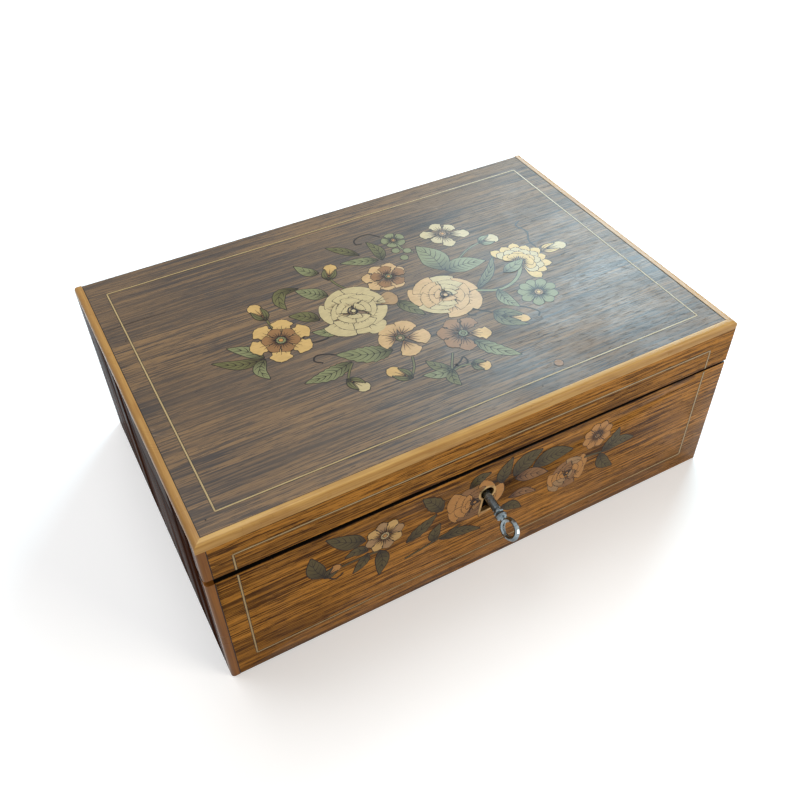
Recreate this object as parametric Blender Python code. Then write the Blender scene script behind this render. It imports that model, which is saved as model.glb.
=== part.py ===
"""A key-wound cylinder music box in a veneered case, each real piece its own closed solid.

The frame: X across the front, Y from front to back, Z up. The origin is the middle of the case's underside.
Sizes are in metres. The case comes first, then the lid, its hinges, the lock and the musical movement.
"""

import math

import bmesh
import bpy
from mathutils import Matrix, Vector

# ---- Driving sizes -------------------------------------------------------------------------------------

SEAT = 0.0003  # gap left between two pieces that are glued, screwed or rest on each other

CASE_WIDTH = 0.280
CASE_DEPTH = 0.191
CASE_HEIGHT = 0.0735  # underside to rim
BOARD = 0.009  # thickness of the case and lid sides
BOTTOM_BOARD = 0.008
EDGING = 0.004  # side of the square boxwood edging
EDGING_ROUND = 0.0012
RIM_DROP = 0.0015  # the partitions stop this far under the rim
PARTITION = 0.005
LEFT_COMPARTMENT = 0.045
RIGHT_COMPARTMENT = 0.038

LID_HEIGHT = 0.0262  # at the back, where the lid rests on the rim
LID_PANEL = 0.006
LID_GAP_LEFT = 0.003  # the lid has warped, so its front stands off the rim
LID_GAP_RIGHT = 0.0012

HINGE_LENGTH = 0.036
HINGE_INSET = 0.034  # from the case's end to the hinge
HINGE_LEAF = 0.0012
HINGE_REACH = 0.0095  # how far the leaf runs in over the board
BARREL_RADIUS = 0.002
HINGE_PIN_RADIUS = 0.0008
BARREL_STAND_OFF = 0.001  # of the pin behind the back of the case

LOCK_X = -0.003
LOCK_WIDTH = 0.040
LOCK_HEIGHT = 0.029
LOCK_DEPTH = 0.0085
LOCK_SETBACK = 0.004  # wood left in front of the lock
LOCK_WALL = 0.0012
KEYHOLE_DROP = 0.0205  # from the rim to the middle of the round part
KEYHOLE_RADIUS = 0.0037
KEYHOLE_NECK = 0.002  # half width of the slot where it leaves the round part
KEYHOLE_SKIRT = 0.0034  # half width of the slot at its foot
KEYHOLE_LEG = 0.0125  # from the middle of the round part to the slot's foot
LINER = 0.0013
LINER_DEPTH = 0.002
BOLT_THICKNESS = 0.0024
BOLT_SETBACK = 0.0018  # from the lock's front plate to the bolt
BOLT_FOOT = 0.0028
BOLT_HORN = 0.0023
BOLT_LIFT = 0.0022  # from the key bit's reach to the bolt
HORN_LENGTH = 0.0045
HORN_START = 0.0008  # from a horn's end to its staple
HORN_DROP = 0.0028  # under the lock's top plate
STEM = 0.0025
STAPLE_X = (-0.00945, 0.00905)  # middles of the two staples from the lock's middle
STAPLE_DROP = 0.0108
STAPLE_THICKNESS = 0.0015
STAPLE_FRONT = 0.001  # how far a staple reaches past the bolt, in front and behind
STAPLE_BACK = 0.0012
EYE_CLEARANCE = 0.0006  # over and under a bolt horn
EYE_SHAKE = 0.0004  # in front of the bolt and behind it
STRIKE_MARGIN = 0.0005  # wood left behind the strike plate

KEY_DROOP = 11.0  # degrees; a worn key hangs down on its drill pin
KEY_ROLL = 30.0  # degrees that the key stands turned clockwise from where it goes in
KEY_SHAFT_RADIUS = 0.0021
KEY_BORE_RADIUS = 0.0013
KEY_DEPTH = 0.0113
KEY_BIT_REACH = 0.007
KEY_BIT_LENGTH = 0.003
KEY_BIT_THICKNESS = 0.0016
KEY_NOSE = 0.0011  # of the shaft past the bit
KEY_REST_DROP = 0.0016  # of the shaft below the keyhole's middle, at the face
BOW_LENGTH = 0.0125
BOW_WIDTH = 0.0105
BOW_WIRE_RADIUS = 0.0013
BOW_START = 0.0138
DRILL_PIN_RADIUS = 0.0007
DRILL_PIN_REACH = 0.0022  # how far the pin runs into the key's bore

BEARER_HEIGHT = 0.010
BEARER_WIDTH = 0.012
BEARER_OVERHANG = 0.006  # past the bedplate, at each end
BEDPLATE = 0.0032
BEDPLATE_DEPTH = 0.124
BEDPLATE_MARGIN = 0.002  # to the partitions
AXIS_HEIGHT = 0.0245  # of the cylinder and the barrel over the bedplate

CYLINDER_Y = -0.002
CYLINDER_RADIUS = 0.015
CYLINDER_LENGTH = 0.102
CYLINDER_START = 0.043  # from the left partition to the cylinder
PIN_REACH = 0.0009  # the music pins stand this far out of the cylinder
ARBOR_RADIUS = 0.003
JOURNAL_RADIUS = 0.002
JOURNAL_TAIL = 0.0015  # of the arbor past its cock
BRIDGE = 0.0025
BRIDGE_CORNER = 0.004  # taken off the top corners of a bridge
BRIDGE_GAP = 0.0035  # from the cylinder and its wheel to the bridges beside them
PINION_GAP = 0.0017
WHEEL_GAP = 0.001  # from the cylinder's end to its wheel, and from the wheel to the arbor's shoulder
COCK_HALF_WIDTH = 0.0065
COCK_FOOT = 0.006

DRIVE_MODULE = 0.0008
GREAT_WHEEL_TEETH = 50
CYLINDER_PINION_TEETH = 15
GREAT_WHEEL_WIDTH = 0.003
BARREL_DRUM_RADIUS = 0.018
BARREL_WALL = 0.0015
BARREL_LENGTH = 0.022
BARREL_GAP = 0.0025  # from the drum to the outer bridge
MAINSPRING_TURNS = 5
MAINSPRING_THICKNESS = 0.0005

RATCHET_TEETH = 24
RATCHET_RADIUS = 0.009
RATCHET_WIDTH = 0.0017
RATCHET_GAP = 0.0014
RATCHET_STEP = 0.001  # depth of a ratchet tooth
INNER_BRIDGE_FRONT = 0.0075  # how far the bridges reach past the two axes, forward, backward and up
INNER_BRIDGE_BACK = 0.011
INNER_BRIDGE_TOP = 0.010
OUTER_BRIDGE_FRONT = 0.013
OUTER_BRIDGE_BACK = 0.0145
OUTER_BRIDGE_TOP = 0.0175
BRIDGE_FOOT = 0.002
CLICK_PIVOT = (0.0085, 0.0125)  # back and up from the barrel's axis
CLICK_STUD_RADIUS = 0.001
CLICK_ROUND = 0.0028
CLICK_NOSE_ANGLE = 103  # degrees round the ratchet from the back
CLICK_CLEARANCE = 0.0003
SQUARE = 0.0044
SQUARE_LENGTH = 0.0105
SQUARE_SETBACK = 0.0005  # from the partition to the square
WINDING_KEY_RADIUS = 0.0042
KEY_MOUTH_SETBACK = 0.0015  # from the root of the square to the key's mouth
WINDING_KEY_LENGTH = 0.0165
WINDING_BOW_RADIUS = 0.0068
WINDING_BOW_WIRE = 0.0013

COMB_TEETH = 48
COMB_THICKNESS = 0.0018
COMB_ROOT = 0.018  # length of the solid part of the comb
COMB_TOOTH = 0.0218
COMB_SAW_CUT = 0.0004
COMB_TIP_CLEARANCE = 0.0003
COMB_SCREW_RADIUS = 0.0014
COMB_SCREW_HEAD = 0.0028
COMB_SCREW_TOP = 0.0018  # of the head over the comb
SCREW_GRIP = 0.006
COMB_MARGIN = 0.002  # from the cylinder's ends to the comb's
COMB_FOOT_FRONT = 0.004  # how far the base's foot reaches past the comb, and under its teeth
COMB_FOOT_BACK = 0.012
COMB_FOOT = 0.004

TRAIN_MODULE = 0.0005
CYLINDER_WHEEL_TEETH = 64
GOVERNOR_PINION_TEETH = 12
GOVERNOR_WHEEL_TEETH = 40
WORM_PITCH_RADIUS = 0.002
WORM_RADIUS = 0.0021
TRAIN_WHEEL_WIDTH = 0.002
FRAME_PLATE = 0.002
FLY_WIDTH = 0.015
FLY_HEIGHT = 0.0092
FLY_THICKNESS = 0.0005
FRAME_SETBACK = 0.002  # from the cock to the governor's frame
FRAME_LENGTH = 0.0115
FRAME_BASE = 0.003
FRAME_FRONT = 0.005  # how far the frame reaches past the wheel's axis in front, and past the worm behind
FRAME_BACK = 0.0115
WHEEL_SETBACK = 0.00725  # from the frame's left side to the governor wheel
PIVOT_RADIUS = 0.0008
GOVERNOR_ARBOR_RADIUS = 0.0015
WORM_ROWS = 8  # rows of points along one lead, and points round the shaft
WORM_TURNS = 6
WORM_SHAFT_RADIUS = 0.0012
WORM_ROOT_RADIUS = 0.0014

LEVER_THICKNESS = 0.0017
LEVER_STUD_RADIUS = 0.0013
LEVER_ARM = 0.0018
LEVER_BOSS = 0.0035
LEVER_POST = 0.0009  # half the side of the square post
FINGER = 0.0007  # half the width of the finger
FINGER_CLEARANCE = 0.0006  # from the fly's sweep to the finger's tip
HANDLE_REACH = 0.016  # past the right partition
KNOB_RADIUS = 0.0028
SLOT_PLAY = 0.0022

GLASS = 0.002
GLASS_DROP = 0.0015  # from the rim to the top of the glass
GLASS_CLEARANCE = 0.0005
LEDGE_WIDTH = 0.0025
LEDGE_HEIGHT = 0.004

# ---- Sizes worked out from these -----------------------------------------------------------------------

half_width = CASE_WIDTH / 2
front = -CASE_DEPTH / 2
back = CASE_DEPTH / 2
inner_x = half_width - BOARD
inner_y = back - BOARD
rim = CASE_HEIGHT
floor_top = BOTTOM_BOARD
lid_bottom = rim + SEAT
top = lid_bottom + LID_HEIGHT
bay_left = -inner_x + LEFT_COMPARTMENT + PARTITION
bay_right = inner_x - RIGHT_COMPARTMENT - PARTITION
bedplate_bottom = floor_top + BEARER_HEIGHT + 2 * SEAT
bedplate_top = bedplate_bottom + BEDPLATE
axis_z = bedplate_top + AXIS_HEIGHT
drive_distance = DRIVE_MODULE * (GREAT_WHEEL_TEETH + CYLINDER_PINION_TEETH) / 2
barrel_y = CYLINDER_Y + drive_distance
train_distance = TRAIN_MODULE * (CYLINDER_WHEEL_TEETH + GOVERNOR_PINION_TEETH) / 2
governor_y = CYLINDER_Y + train_distance
worm_y = governor_y + TRAIN_MODULE * GOVERNOR_WHEEL_TEETH / 2 + WORM_PITCH_RADIUS


# ---- Shared modelling steps ----------------------------------------------------------------------------

for old in list(bpy.data.objects):
    bpy.data.objects.remove(old, do_unlink=True)


def finish(name, colour, roughness, metallic):
    """A plain Principled material."""
    look = bpy.data.materials.new(name)
    look.use_nodes = True
    shader = look.node_tree.nodes["Principled BSDF"]
    shader.inputs["Base Color"].default_value = (*colour, 1.0)
    shader.inputs["Roughness"].default_value = roughness
    shader.inputs["Metallic"].default_value = metallic
    return look


rosewood = finish("rosewood_veneer", (0.16, 0.07, 0.035), 0.3, 0.0)
boxwood = finish("boxwood", (0.62, 0.36, 0.12), 0.35, 0.0)
pine = finish("pine", (0.45, 0.3, 0.16), 0.6, 0.0)
brass = finish("brass", (0.7, 0.5, 0.2), 0.3, 1.0)
steel = finish("blued_steel", (0.3, 0.33, 0.37), 0.3, 1.0)
glass = finish("glass", (0.85, 0.9, 0.88), 0.05, 0.0)


def add_object(name, shape, look, smooth_angle=None):
    """Makes an object from a bmesh, faces pointing out. Rounded pieces are shaded smooth up to smooth_angle."""
    bmesh.ops.recalc_face_normals(shape, faces=shape.faces)
    mesh = bpy.data.meshes.new(name)
    shape.to_mesh(mesh)
    shape.free()
    mesh.materials.append(look)
    if smooth_angle is not None:
        mesh.shade_smooth()
        mesh.set_sharp_from_angle(angle=math.radians(smooth_angle))
    piece = bpy.data.objects.new(name, mesh)
    bpy.context.collection.objects.link(piece)
    return piece


def block(name, look, x, y, z):
    """A box between two values on each axis."""
    shape = bmesh.new()
    bmesh.ops.create_cube(shape, size=1.0)
    size = Vector((x[1] - x[0], y[1] - y[0], z[1] - z[0]))
    middle = Vector((x[0] + x[1], y[0] + y[1], z[0] + z[1])) / 2
    bmesh.ops.scale(shape, vec=size, verts=shape.verts)
    bmesh.ops.translate(shape, vec=middle, verts=shape.verts)
    return add_object(name, shape, look)


ALONG_X = Matrix(((0, 0, 1, 0), (1, 0, 0, 0), (0, 1, 0, 0), (0, 0, 0, 1)))  # local Z to X, local X to Y
ALONG_Y = Matrix(((1, 0, 0, 0), (0, 0, 1, 0), (0, -1, 0, 0), (0, 0, 0, 1)))  # local Z to Y, local Y to -Z
ALONG_Z = Matrix.Identity(4)


def at(point, turn=ALONG_Z):
    """The place of a piece modelled about its own local Z."""
    return Matrix.Translation(point) @ turn


def turned(name, look, profile, place, segments=24):
    """A lathe piece: profile is (radius, height) pairs round the local Z. A profile that starts and ends on
    the axis is a rod, and any other is closed into a ring."""
    shape = bmesh.new()
    points = [shape.verts.new((radius, 0.0, height)) for radius, height in profile]
    edges = [shape.edges.new(pair) for pair in zip(points, points[1:])]
    if profile[0][0] > 0 or profile[-1][0] > 0:
        edges.append(shape.edges.new((points[-1], points[0])))
    bmesh.ops.spin(shape, geom=points + edges, cent=(0, 0, 0), axis=(0, 0, 1), dvec=(0, 0, 0),
                   angle=math.tau, steps=segments, use_merge=True)
    bmesh.ops.remove_doubles(shape, verts=shape.verts, dist=1e-6)
    bmesh.ops.transform(shape, matrix=place, verts=shape.verts)
    return add_object(name, shape, look, smooth_angle=35)


def tube_profile(inner, outer, low, high):
    """The section of a plain ring."""
    return [(inner, low), (outer, low), (outer, high), (inner, high)]


def rod_profile(*steps):
    """The section of a stepped rod from (radius, low, high) steps that follow each other."""
    profile = [(0.0, steps[0][1])]
    for radius, low, high in steps:
        profile += [(radius, low), (radius, high)]
    return profile + [(0.0, steps[-1][2])]


def plate(name, look, outline, thickness, place, hole=None):
    """A flat piece: the outline, and a hole's outline if there is one, raised along the local Z."""
    shape = bmesh.new()
    edges = []
    for loop in [outline] + ([hole] if hole else []):
        points = [shape.verts.new((u, v, 0.0)) for u, v in loop]
        edges += [shape.edges.new((points[i - 1], points[i])) for i in range(len(points))]
    bmesh.ops.triangle_fill(shape, use_beauty=True, edges=edges)
    raised = bmesh.ops.extrude_face_region(shape, geom=shape.faces[:])["geom"]
    lifted = [item for item in raised if isinstance(item, bmesh.types.BMVert)]
    bmesh.ops.translate(shape, vec=(0, 0, thickness), verts=lifted)
    bmesh.ops.transform(shape, matrix=place, verts=shape.verts)
    return add_object(name, shape, look)


def arc(centre, radius, start, end, steps):
    """Points round a centre from one angle in degrees to another."""
    return [(centre[0] + radius * math.cos(math.radians(start + (end - start) * i / steps)),
             centre[1] + radius * math.sin(math.radians(start + (end - start) * i / steps)))
            for i in range(steps + 1)]


def circle(radius, segments=16):
    return arc((0, 0), radius, 0, 360 - 360 / segments, segments - 1)


def tool(piece):
    """Hides a piece that only shapes another."""
    piece.hide_render = True
    piece.display_type = "WIRE"
    return piece


def shape_with(piece, operation, other):
    step = piece.modifiers.new(operation.lower() + "_" + other.name, "BOOLEAN")
    step.operation = operation
    step.solver = "EXACT"
    step.object = tool(other)


def cut(piece, *others):
    for other in others:
        shape_with(piece, "DIFFERENCE", other)


def join(piece, *others):
    for other in others:
        shape_with(piece, "UNION", other)


def carry(name, point, pieces):
    """Hangs a moving body's pieces on an empty that stands on its joint's axis."""
    pivot = bpy.data.objects.new(name, None)
    bpy.context.collection.objects.link(pivot)
    pivot.location = point
    for piece in pieces:
        piece.data.transform(Matrix.Translation(-Vector(point)))
        piece.parent = pivot


# ---- Case ----------------------------------------------------------------------------------------------

between_ends = (-(inner_y - SEAT), inner_y - SEAT)
block("bottom_board", pine, (-inner_x + SEAT, inner_x - SEAT), between_ends, (0, BOTTOM_BOARD))
front_board = block("front_board", rosewood, (-half_width, half_width), (front, -inner_y), (0, rim))
back_board = block("back_board", rosewood, (-half_width, half_width), (inner_y, back), (0, rim))
block("left_board", rosewood, (-half_width, -inner_x), between_ends, (0, rim))
block("right_board", rosewood, (inner_x, half_width), between_ends, (0, rim))

edging_gap = EDGING + SEAT


def corner_strip(name, low, high):
    """An upright square strip let into the front-left corner, with its outer arris rounded."""
    outline = [(-half_width + EDGING, front), (-half_width + EDGING, front + EDGING), (-half_width,
                                                                                       front + EDGING)]
    outline += arc((-half_width + EDGING_ROUND, front + EDGING_ROUND), EDGING_ROUND, 180, 270, 3)
    return plate(name, boxwood, outline, high - low, at((0, 0, low)))


def corner_rebate(name, low, high):
    """The notch that holds such a strip."""
    return block(name, boxwood, (-half_width - EDGING, -half_width + edging_gap),
                 (front - EDGING, front + edging_gap), (low, high))


corner_strip("case_corner_edging", 0, rim)
cut(front_board, corner_rebate("case_corner_rebate", -EDGING, rim + EDGING))

left_partition = block("left_partition", pine, (bay_left - PARTITION, bay_left), between_ends,
                       (floor_top + SEAT, rim - RIM_DROP))
arbor_hole_radius = ARBOR_RADIUS * 1.5
cut(left_partition, turned("arbor_hole", pine, rod_profile((arbor_hole_radius, -2 * PARTITION, PARTITION)),
                           at((bay_left, barrel_y, axis_z), ALONG_X), 16))
right_partition = block("right_partition", pine, (bay_right, bay_right + PARTITION), between_ends,
                        (floor_top + SEAT, rim - RIM_DROP))

# ---- Lid -----------------------------------------------------------------------------------------------

rail_top = top - LID_PANEL - SEAT


def lid_gap(x, y):
    """How far the warped lid stands off its resting height at a place in plan."""
    across = (x + half_width) / CASE_WIDTH
    forward = (back - y) / CASE_DEPTH
    return forward * (LID_GAP_LEFT * (1 - across) + LID_GAP_RIGHT * across)


def lid_rail(name, x, y):
    """One side of the lid, its lower edge following the warp."""
    rail = block(name, rosewood, x, y, (lid_bottom, rail_top))
    for corner in rail.data.vertices:
        if corner.co.z < rail_top - SEAT:
            corner.co.z += lid_gap(corner.co.x, corner.co.y)
    return rail


lid_front_rail = lid_rail("lid_front_rail", (-half_width, half_width), (front, -inner_y))
lid_back_rail = lid_rail("lid_back_rail", (-half_width, half_width), (inner_y, back))
lid_left_rail = lid_rail("lid_left_rail", (-half_width, -inner_x), between_ends)
lid_right_rail = lid_rail("lid_right_rail", (inner_x, half_width), between_ends)
lid_panel = block("lid_panel", rosewood, (-half_width, half_width), (front, back), (top - LID_PANEL, top))

edging_bottom = top - EDGING
rebate_bottom = edging_bottom - SEAT
over = EDGING  # how far a cutter runs past the wood
cut(lid_panel,
    block("front_rebate", boxwood, (-half_width - over, half_width + over), (front - over, front + edging_gap),
          (rebate_bottom, top + over)),
    block("left_rebate", boxwood, (-half_width - over, -half_width + edging_gap), (front, back + over),
          (rebate_bottom, top + over)),
    block("right_rebate", boxwood, (half_width - edging_gap, half_width + over), (front, back + over),
          (rebate_bottom, top + over)),
    corner_rebate("panel_corner_rebate", rail_top - over, top + over))
cut(lid_front_rail, corner_rebate("rail_corner_rebate", rim - EDGING, top))


def top_strip_outline():
    """Section of the edging along the lid's top: outer side at u = 0, top at v = EDGING."""
    return [(0, 0), (EDGING, 0), (EDGING, EDGING)] + arc((EDGING_ROUND, EDGING - EDGING_ROUND), EDGING_ROUND,
                                                         90, 180, 3)


LEFT_STRIP = Matrix(((1, 0, 0, 0), (0, 0, 1, 0), (0, 1, 0, 0), (0, 0, 0, 1)))  # u to X, v to Z, length to Y
RIGHT_STRIP = Matrix(((-1, 0, 0, 0), (0, 0, 1, 0), (0, 1, 0, 0), (0, 0, 0, 1)))
lid_front_edging = plate("lid_front_edging", boxwood, top_strip_outline(), CASE_WIDTH,
                         at((-half_width, front, edging_bottom), ALONG_X))
side_strip_length = CASE_DEPTH - edging_gap
lid_left_edging = plate("lid_left_edging", boxwood, top_strip_outline(), side_strip_length,
                        at((-half_width, front + edging_gap, edging_bottom), LEFT_STRIP))
lid_right_edging = plate("lid_right_edging", boxwood, top_strip_outline(), side_strip_length,
                         at((half_width, front + edging_gap, edging_bottom), RIGHT_STRIP))
lid_corner_edging = corner_strip("lid_corner_edging", lid_bottom + lid_gap(-half_width, front),
                                 edging_bottom - SEAT)

# ---- Hinges --------------------------------------------------------------------------------------------

hinge_y = back + BARREL_STAND_OFF
hinge_z = (rim + lid_bottom) / 2
knuckle = HINGE_LENGTH / 3
clear_radius = BARREL_RADIUS + SEAT
leaf_edge = hinge_y - clear_radius
lid_leaves = []


def hinge_leaf(name, start, side, knuckles):
    """A leaf under (side -1) or over (side 1) the hinge plane, with barrel rings at the given thirds."""
    low, high = sorted((hinge_z + side * SEAT / 2, hinge_z + side * (SEAT / 2 + HINGE_LEAF)))
    leaf = block(name, brass, (start, start + HINGE_LENGTH), (back - HINGE_REACH, leaf_edge), (low, high))
    for third in knuckles:
        ring_low = third * knuckle + (SEAT / 2 if third else 0)
        ring_high = (third + 1) * knuckle - (SEAT / 2 if third < 2 else 0)
        tab = block(f"{name}_tab_{third}", brass, (start + ring_low, start + ring_high),
                    (leaf_edge - BARREL_RADIUS, hinge_y), (low, high))
        ring = turned(f"{name}_ring_{third}", brass, rod_profile((BARREL_RADIUS, ring_low, ring_high)),
                      at((start, hinge_y, hinge_z), ALONG_X), 16)
        join(leaf, tab, ring)
    bore = turned(f"{name}_bore", brass, rod_profile((HINGE_PIN_RADIUS + SEAT, -knuckle, 4 * knuckle)),
                  at((start, hinge_y, hinge_z), ALONG_X), 12)
    cut(leaf, bore)
    return leaf


for word, start in (("left", -half_width + HINGE_INSET), ("right", half_width - HINGE_INSET - HINGE_LENGTH)):
    hinge_leaf(f"hinge_{word}_case_leaf", start, -1, (0, 2))
    lid_leaves.append(hinge_leaf(f"hinge_{word}_lid_leaf", start, 1, (1,)))
    turned(f"hinge_{word}_pin", steel, rod_profile((HINGE_PIN_RADIUS, 0, HINGE_LENGTH)),
           at((start, hinge_y, hinge_z), ALONG_X), 12)
    for board, side in ((back_board, -1), (lid_back_rail, 1)):
        low, high = sorted((hinge_z, hinge_z + side * (SEAT * 1.5 + HINGE_LEAF)))
        ends = (start - SEAT, start + HINGE_LENGTH + SEAT)
        cut(board,
            block(f"{board.name}_{word}_mortise", brass, ends, (back - HINGE_REACH - SEAT, back + over), (low,
                                                                                                          high)),
            turned(f"{board.name}_{word}_barrel_groove", brass,
                   rod_profile((clear_radius, -SEAT, HINGE_LENGTH + SEAT)),
                   at((start, hinge_y, hinge_z), ALONG_X), 16))

# ---- Lock ----------------------------------------------------------------------------------------------

keyhole_z = rim - KEYHOLE_DROP
lock_front = front + LOCK_SETBACK + SEAT
lock_back = lock_front + LOCK_DEPTH
lock_top = rim - SEAT
lock_bottom = lock_top - LOCK_HEIGHT
lock_half = LOCK_WIDTH / 2
FACE = Matrix(((1, 0, 0, 0), (0, 0, 1, 0), (0, 1, 0, 0), (0, 0, 0, 1)))  # local Y to Z, raised towards +Y


def keyhole(extra):
    """The keyhole's outline, grown by extra all round, about the middle of its round part."""
    radius = KEYHOLE_RADIUS + extra
    neck = KEYHOLE_NECK + extra
    shoulder = math.degrees(math.asin(neck / radius))
    foot = -KEYHOLE_LEG - extra
    return arc((0, 0), radius, 270 + shoulder, 630 - shoulder, 14) + [(-KEYHOLE_SKIRT - extra, foot),
                                                                       (KEYHOLE_SKIRT + extra, foot)]


plate("keyhole_escutcheon", brass, keyhole(LINER), LINER_DEPTH, at((LOCK_X, front, keyhole_z), FACE),
      hole=keyhole(0))
cut(front_board,
    plate("escutcheon_seat", brass, keyhole(LINER + SEAT), LINER_DEPTH + SEAT + over,
          at((LOCK_X, front - over, keyhole_z), FACE)),
    plate("keyhole_through", brass, keyhole(0), BOARD + 2 * over, at((LOCK_X, front - over, keyhole_z), FACE)),
    block("lock_pocket", brass, (LOCK_X - lock_half - SEAT, LOCK_X + lock_half + SEAT),
          (lock_front - SEAT, -inner_y + over), (lock_bottom - SEAT, rim + over)))

lock_case = block("lock_case", brass, (LOCK_X - lock_half, LOCK_X + lock_half), (lock_front, lock_back),
                  (lock_bottom, lock_top))
cavity_x = (LOCK_X - lock_half + LOCK_WALL, LOCK_X + lock_half - LOCK_WALL)
cavity_y = (lock_front + LOCK_WALL, lock_back - LOCK_WALL)
cavity_z = (lock_bottom + LOCK_WALL, lock_top - LOCK_WALL)
staple_half = STAPLE_THICKNESS / 2
bolt_front = cavity_y[0] + BOLT_SETBACK
staple_y = (bolt_front - STAPLE_FRONT, bolt_front + BOLT_THICKNESS + STAPLE_BACK)
strike_bottom = lid_bottom + lid_gap(LOCK_X, front) + SEAT / 2
slots = [block(f"staple_slot_{i}", brass,
               (LOCK_X + x - staple_half - SEAT, LOCK_X + x + staple_half + SEAT),
               (staple_y[0] - SEAT, staple_y[1] + SEAT), (cavity_z[1] - over, lock_top + over))
         for i, x in enumerate(STAPLE_X)]
key_z = keyhole_z - KEY_REST_DROP
slope = math.tan(math.radians(KEY_DROOP))
pin_y = front + KEY_DEPTH * math.cos(math.radians(KEY_DROOP)) - DRILL_PIN_REACH
pin_z = key_z + (pin_y - front) * slope
cut(lock_case, block("lock_cavity", brass, cavity_x, cavity_y, cavity_z),
    plate("lock_keyhole", brass, keyhole(0), LOCK_WALL + 2 * SEAT, at((LOCK_X, lock_front - SEAT, keyhole_z),
                                                                      FACE)),
    *slots)
join(lock_case, turned("drill_pin", brass, rod_profile((DRILL_PIN_RADIUS, pin_y - 0.002,
                                                        lock_back - LOCK_WALL / 2)),
                       at((LOCK_X, 0, pin_z), ALONG_Y), 10))

horn_top = cavity_z[1] - HORN_DROP
horn_bottom = horn_top - BOLT_HORN
bolt_bottom = key_z + KEY_BIT_REACH + BOLT_LIFT
stem_left = STAPLE_X[0] - staple_half - HORN_START - HORN_LENGTH - STEM
stem_pitch = STAPLE_X[1] - STAPLE_X[0]
bolt_outline = [(stem_left, bolt_bottom), (stem_left + stem_pitch + STEM, bolt_bottom)]
for stem in (stem_left + stem_pitch, stem_left):
    bolt_outline += [(stem + STEM, horn_bottom), (stem + STEM + HORN_LENGTH, horn_bottom),
                     (stem + STEM + HORN_LENGTH, horn_top), (stem, horn_top)]
    if stem > stem_left:
        bolt_outline += [(stem, bolt_bottom + BOLT_FOOT), (stem_left + STEM, bolt_bottom + BOLT_FOOT)]
lock_bolt = plate("lock_bolt", steel, bolt_outline, BOLT_THICKNESS, at((LOCK_X, bolt_front, 0), FACE))

strike_plate_top = strike_bottom + LOCK_WALL
lock_strike = block("lock_strike", brass, (LOCK_X - lock_half, LOCK_X + lock_half),
                    (lock_front, -inner_y - STRIKE_MARGIN), (strike_bottom, strike_plate_top))
eye = (horn_bottom - EYE_CLEARANCE, horn_top + EYE_CLEARANCE)
for i, x in enumerate(STAPLE_X):
    staple = block(f"staple_{i}", brass, (LOCK_X + x - staple_half, LOCK_X + x + staple_half), staple_y,
                   (strike_bottom - STAPLE_DROP, strike_bottom + LOCK_WALL / 2))
    join(lock_strike, staple)
cut(lock_strike, block("staple_eyes", brass, (LOCK_X - lock_half, LOCK_X + lock_half),
                       (bolt_front - EYE_SHAKE, bolt_front + BOLT_THICKNESS + EYE_SHAKE), eye))
cut(lid_front_rail, block("strike_seat", brass, (LOCK_X - lock_half - SEAT, LOCK_X + lock_half + SEAT),
                          (lock_front - SEAT, -inner_y + over), (rim - over, strike_plate_top + SEAT)))

# The key: local Z runs out of the lock along the drooping shaft, and the bit points to local -X.
key_axis = Vector((0, -math.cos(math.radians(KEY_DROOP)), -math.sin(math.radians(KEY_DROOP))))
key_point = Vector((LOCK_X, front, key_z))
key_up = Vector((0, -math.sin(math.radians(KEY_DROOP)), math.cos(math.radians(KEY_DROOP))))
rolled_up = Matrix.Rotation(math.radians(-KEY_ROLL), 3, key_axis) @ key_up
key_side = key_axis.cross(rolled_up)
key_place = Matrix.Translation(key_point) @ Matrix((rolled_up, key_side, key_axis)).transposed().to_4x4()
bow_middle = BOW_START + BOW_LENGTH / 2
key_profile = [(KEY_BORE_RADIUS, -KEY_DEPTH), (KEY_SHAFT_RADIUS, -KEY_DEPTH), (KEY_SHAFT_RADIUS, 0.0085)]
key_profile += [(0.0017, 0.0088), (0.0017, 0.0093), (0.0026, 0.0097), (0.0026, 0.0104), (0.0021, 0.0108),
                (0.0029, 0.0122), (0.0026, 0.0134), (0.0015, 0.0142), (0.0013, BOW_START + BOW_WIRE_RADIUS),
                (0.0, BOW_START + BOW_WIRE_RADIUS), (0.0, -KEY_DEPTH + 0.0068), (KEY_BORE_RADIUS,
                                                                                 -KEY_DEPTH + 0.006)]
lock_key = turned("lock_key", steel, key_profile, key_place, 16)


def ring_bow(name, look, length, width, wire, place, along=20, around=8):
    """An oval ring of round wire in the local XZ plane, centred on the local origin."""
    shape = bmesh.new()
    section = bmesh.ops.create_circle(shape, segments=around, radius=wire)["verts"]
    mean = (length + width) / 4 - wire
    bmesh.ops.translate(shape, vec=(mean, 0, 0), verts=section)
    bmesh.ops.rotate(shape, cent=(mean, 0, 0), matrix=Matrix.Rotation(math.pi / 2, 3, "X"), verts=section)
    edges = shape.edges[:]
    bmesh.ops.spin(shape, geom=section + edges, cent=(0, 0, 0), axis=(0, 0, 1), dvec=(0, 0, 0), angle=math.tau,
                   steps=along, use_merge=True)
    bmesh.ops.remove_doubles(shape, verts=shape.verts, dist=1e-6)
    bmesh.ops.scale(shape, vec=(width / (2 * (mean + wire)), length / (2 * (mean + wire)), 1), verts=shape.verts)
    bmesh.ops.rotate(shape, cent=(0, 0, 0), matrix=Matrix.Rotation(math.pi / 2, 3, "X"), verts=shape.verts)
    bmesh.ops.transform(shape, matrix=place, verts=shape.verts)
    return add_object(name, shape, look, smooth_angle=60)


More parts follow.
